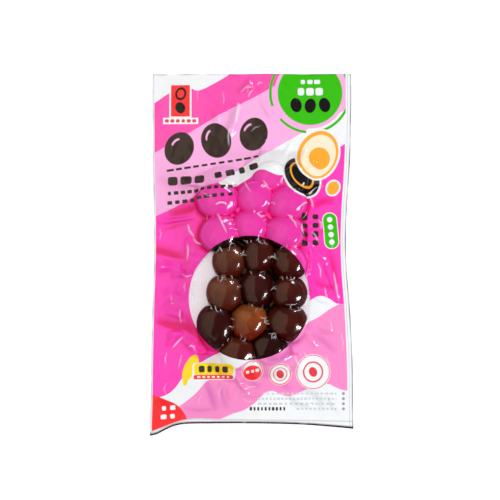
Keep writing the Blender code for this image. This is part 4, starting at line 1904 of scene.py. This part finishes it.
    def add_rim(self, made: bmesh.types.BMesh) -> None:
        """Turn the printed film's outer edge down to the back film.

        Args:
            made: The printed film's bmesh, which is changed.
        """
        past_window = 1.2 * self.window.radius * MM
        centre = (self.window.x * MM, self.window.y * MM)
        outer = []
        for edge in made.edges:
            if edge.is_boundary and math.dist(edge.verts[0].co.xy, centre) > past_window:
                outer.append(edge)
                edge.smooth = False
        new = bmesh.ops.extrude_edge_only(made, edges=outer)["geom"]
        for vert in (item for item in new if isinstance(item, bmesh.types.BMVert)):
            x, y = np.array([vert.co.x / MM]), np.array([vert.co.y / MM])
            vert.co.z = float(self.form.back_height(x, y)[0]) * MM
        bmesh.ops.recalc_face_normals(made, faces=made.faces[:])

    def build_front(self) -> None:
        """Make the printed film and the clear window from one sheet."""
        mesh, inside = self.front_mesh()
        printed = self.part_of(mesh, inside)
        self.add_rim(printed)
        clear = self.part_of(mesh, ~inside)
        self.refine(clear)
        bpy.data.meshes.remove(mesh)

        ink = PrintedFilm(self.groups, self.form).build()
        front = add_piece("printed_front", plain_mesh(printed, "printed_front"), [ink])
        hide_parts("pouch")
        glaze = ClearFilm(self.groups).build()
        pane = add_piece("clear_window", plain_mesh(clear, "clear_window"), [glaze])

    def build_back(self) -> None:
        """Make the back film as a thin closed shell, tucked a little inside the front's edge."""
        half_x, half_y = self.form.width / 2, self.form.length / 2
        lines_x = np.linspace(-half_x, half_x, round(2 * half_x / self.back_step) + 1)
        lines_y = np.linspace(-half_y, half_y, round(2 * half_y / self.back_step) + 1)
        mesh, flat = self.flat_sheet(lines_x, lines_y)
        x, y = self.form.drawn_in(flat[:, 0], flat[:, 1])
        tucked = 1 - self.tuck / half_x
        x, y = x * tucked, y * tucked
        put(mesh, np.stack((x, y, self.form.back_height(x, y)), axis=1))
        wet = mesh.attributes.new(JUICE, "FLOAT", "POINT")
        wet.data.foreach_set("value", self.form.juice(x, y))
        shell = bmesh.new()
        shell.from_mesh(mesh)
        raised = bmesh.ops.extrude_face_region(shell, geom=shell.faces[:])["geom"]
        verts = [item for item in raised if isinstance(item, bmesh.types.BMVert)]
        bmesh.ops.translate(shell, vec=(0, 0, self.film * MM), verts=verts)
        for face in (item for item in raised if isinstance(item, bmesh.types.BMFace)):
            face.material_index = 1
        bmesh.ops.recalc_face_normals(shell, faces=shell.faces[:])
        shell.to_mesh(mesh)
        shell.free()
        sides = (BackSide.OUTER, BackSide.INNER)
        finishes = [BackFilm(self.groups, side).build() for side in sides]
        back = add_piece("back_film", mesh, finishes)

    def build(self) -> None:
        """Make every film piece."""
        self.build_front()
        self.build_back()


@dataclass
class EggHeap:
    """The eggs that show in the window, each pressed against its neighbours.

    A skin is larger than its solid by grow up and down and by spread round it, and keeps the gap
    from its neighbours and the distance under the film. A higher press makes its flats crisper.
    """

    form: FilmForm
    grow: float = 0.6
    spread: float = 0.88
    gap: float = 0.06
    under: float = 0.22
    press: float = 24.0
    around: int = 64
    along: int = 40

    def pressed(self, egg: Egg, offsets: Array) -> Array:
        """Points of an egg's own form, pulled back from its neighbours.

        Args:
            egg: The egg.
            offsets: Points of its form, from its middle.

        Returns:
            The points where the pressed egg has them.
        """
        total = np.ones(len(offsets))
        for other in EGGS:
            between = other.middle(self.form.egg_lift) - egg.middle(self.form.egg_lift)
            apart = float(np.linalg.norm(between))
            if other is egg or apart > (egg.long + other.long) / 2:
                continue
            towards = between / apart
            mine, theirs = egg.reach(towards), other.reach(towards)
            limit = (apart * apart + mine * mine - theirs * theirs) / (2 * apart) - self.gap / 2
            total += np.maximum(offsets @ towards / limit, 0.0) ** self.press
        return offsets / total[:, None] ** (1 / self.press)

    def egg_mesh(self, egg: Egg) -> bpy.types.Mesh:
        """One egg's smooth mesh, just under the film.

        Args:
            egg: The egg.

        Returns:
            The mesh.
        """
        ball = bmesh.new()
        bmesh.ops.create_uvsphere(
            ball, u_segments=self.around, v_segments=self.along, radius=1, calc_uvs=False
        )
        mesh = plain_mesh(ball, "egg")
        unit = places(mesh) * MM
        plan = np.hypot(unit[:, 0], unit[:, 1])
        full = 2 / egg.fullness
        unit[:, :2] *= np.maximum(plan, 0.01)[:, None] ** (full - 1)
        unit[:, 2] = np.sign(unit[:, 2]) * np.abs(unit[:, 2]) ** full
        angle = math.radians(egg.turn)
        along = unit[:, 0] * (egg.long / 2 + self.spread)
        across = unit[:, 1] * (egg.wide / 2 + self.spread) * (1 + TAPER * unit[:, 0])
        offsets = np.stack(
            (
                along * math.cos(angle) - across * math.sin(angle),
                along * math.sin(angle) + across * math.cos(angle),
                unit[:, 2] * (egg.tall / 2 + self.grow),
            ),
            axis=1,
        )
        spots = self.pressed(egg, offsets) + egg.middle(self.form.egg_lift)
        lid = self.form.front_height(spots[:, 0], spots[:, 1]) - self.under
        spots[:, 2] = np.minimum(spots[:, 2], np.maximum(lid, egg.tall / 2))
        put(mesh, spots)
        return mesh

    def build(self) -> None:
        """Make every egg that shows, each in place of its solid."""
        finishes = {tone: BraisedEgg(tone).build() for tone in EggTone}
        for number, egg in enumerate(SEEN_EGGS, start=1):
            piece = add_piece(f"braised_egg_{number:02d}", self.egg_mesh(egg), [finishes[egg.tone]])
            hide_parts(f"egg_{number:02d}")


@dataclass(frozen=True)
class Lamp:
    """A studio light: a round lamp or a flat panel that faces a point of the pack."""

    name: str
    place: tuple[float, float, float]
    radiance: float
    size: float
    long: float = 0.0
    mirrored: bool = True
    colour: Colour = (1.0, 1.0, 1.0)

    def build(self) -> None:
        """Add the lamp to the scene."""
        data = bpy.data.lights.new(self.name, "AREA")
        data.color = self.colour
        data.size = self.size
        if self.long:
            data.shape = "RECTANGLE"
            data.size_y = self.long
            area = self.size * self.long
        else:
            data.shape = "DISK"
            area = math.pi * self.size**2 / 4
        data.energy = self.radiance * math.pi * area
        lamp = bpy.data.objects.new(self.name, data)
        lamp.location = self.place
        lamp.rotation_euler = lamp.location.to_track_quat("Z", "Y").to_euler()
        lamp.visible_camera = False
        lamp.visible_glossy = self.mirrored
        bpy.context.scene.collection.objects.link(lamp)
        log.info("lamp %s", self.name)


@dataclass
class Studio:
    """The plain pale floor, the soft light and the camera."""

    aim: tuple[float, float, float] = (-0.0012, 0.0015, 0.0)
    distance: float = 0.57
    tilt: float = math.radians(3.25)
    seen_width: float = 0.300
    floor_side: float = 8.0
    floor_grey: float = 0.93
    floor_glow: float = 0.18
    room_light: float = 0.04
    lamps: tuple[Lamp, ...] = (
        Lamp("wall_panel", (-0.75, 0.0, 0.70), 0.30, 3.2, 1.9, colour=(1.0, 0.93, 0.64)),
        Lamp("right_lamp", (0.98, -0.52, 0.62), 15.0, 0.38),
        Lamp("far_lamp", (0.62, 0.98, 0.42), 15.0, 0.30),
        Lamp("overhead_fill", (0.0, 0.0, 1.5), 3.14, 1.5, 1.5, False, (0.965, 0.975, 1.06)),
    )

    def build_floor(self) -> None:
        """Lay the floor under the pack."""
        sheet = bmesh.new()
        bmesh.ops.create_grid(sheet, x_segments=1, y_segments=1, size=self.floor_side / 2)
        mesh = plain_mesh(sheet, "floor")
        finish, _, shader = new_finish("pale_floor")
        grey = self.floor_grey
        shader.inputs["Base Color"].default_value = (grey, grey, grey, 1.0)
        shader.inputs["Roughness"].default_value = 0.9
        shader.inputs["Specular IOR Level"].default_value = 0.1
        shader.inputs["Emission Color"].default_value = (1.0, 1.0, 1.0, 1.0)
        shader.inputs["Emission Strength"].default_value = self.floor_glow
        mesh.materials.append(finish)
        floor = bpy.data.objects.new("floor", mesh)
        bpy.context.scene.collection.objects.link(floor)

    def build_world(self) -> None:
        """Give the room round the pack a plain pale grey light."""
        world = bpy.data.worlds.new("room")
        world.use_nodes = True
        light = world.node_tree.nodes["Background"]
        light.inputs["Color"].default_value = (0.9, 0.93, 1.0, 1.0)
        light.inputs["Strength"].default_value = self.room_light
        bpy.context.scene.world = world

    def build_camera(self) -> None:
        """Look straight down from a little towards the pack's bottom side."""
        data = bpy.data.cameras.new("camera")
        data.sensor_width = 36.0
        data.lens = data.sensor_width * self.distance / self.seen_width
        camera = bpy.data.objects.new("camera", data)
        back = (0.0, -math.sin(self.tilt), math.cos(self.tilt))
        camera.location = [place + self.distance * way for place, way in zip(self.aim, back)]
        camera.rotation_euler = (self.tilt, 0.0, 0.0)
        bpy.context.scene.collection.objects.link(camera)
        bpy.context.scene.camera = camera

    def build(self) -> None:
        """Make the whole set."""
        self.build_floor()
        self.build_world()
        self.build_camera()
        for lamp in self.lamps:
            lamp.build()
        bpy.context.scene.view_settings.view_transform = "Standard"


def main() -> None:
    """Build the pack, its eggs and the studio."""
    logging.basicConfig(level=logging.INFO, format="%(message)s")
    form = FilmForm()
    FilmPack(form, Window(), GroupMaker()).build()
    EggHeap(form).build()
    Studio().build()


if __name__ == "__main__":
    main()
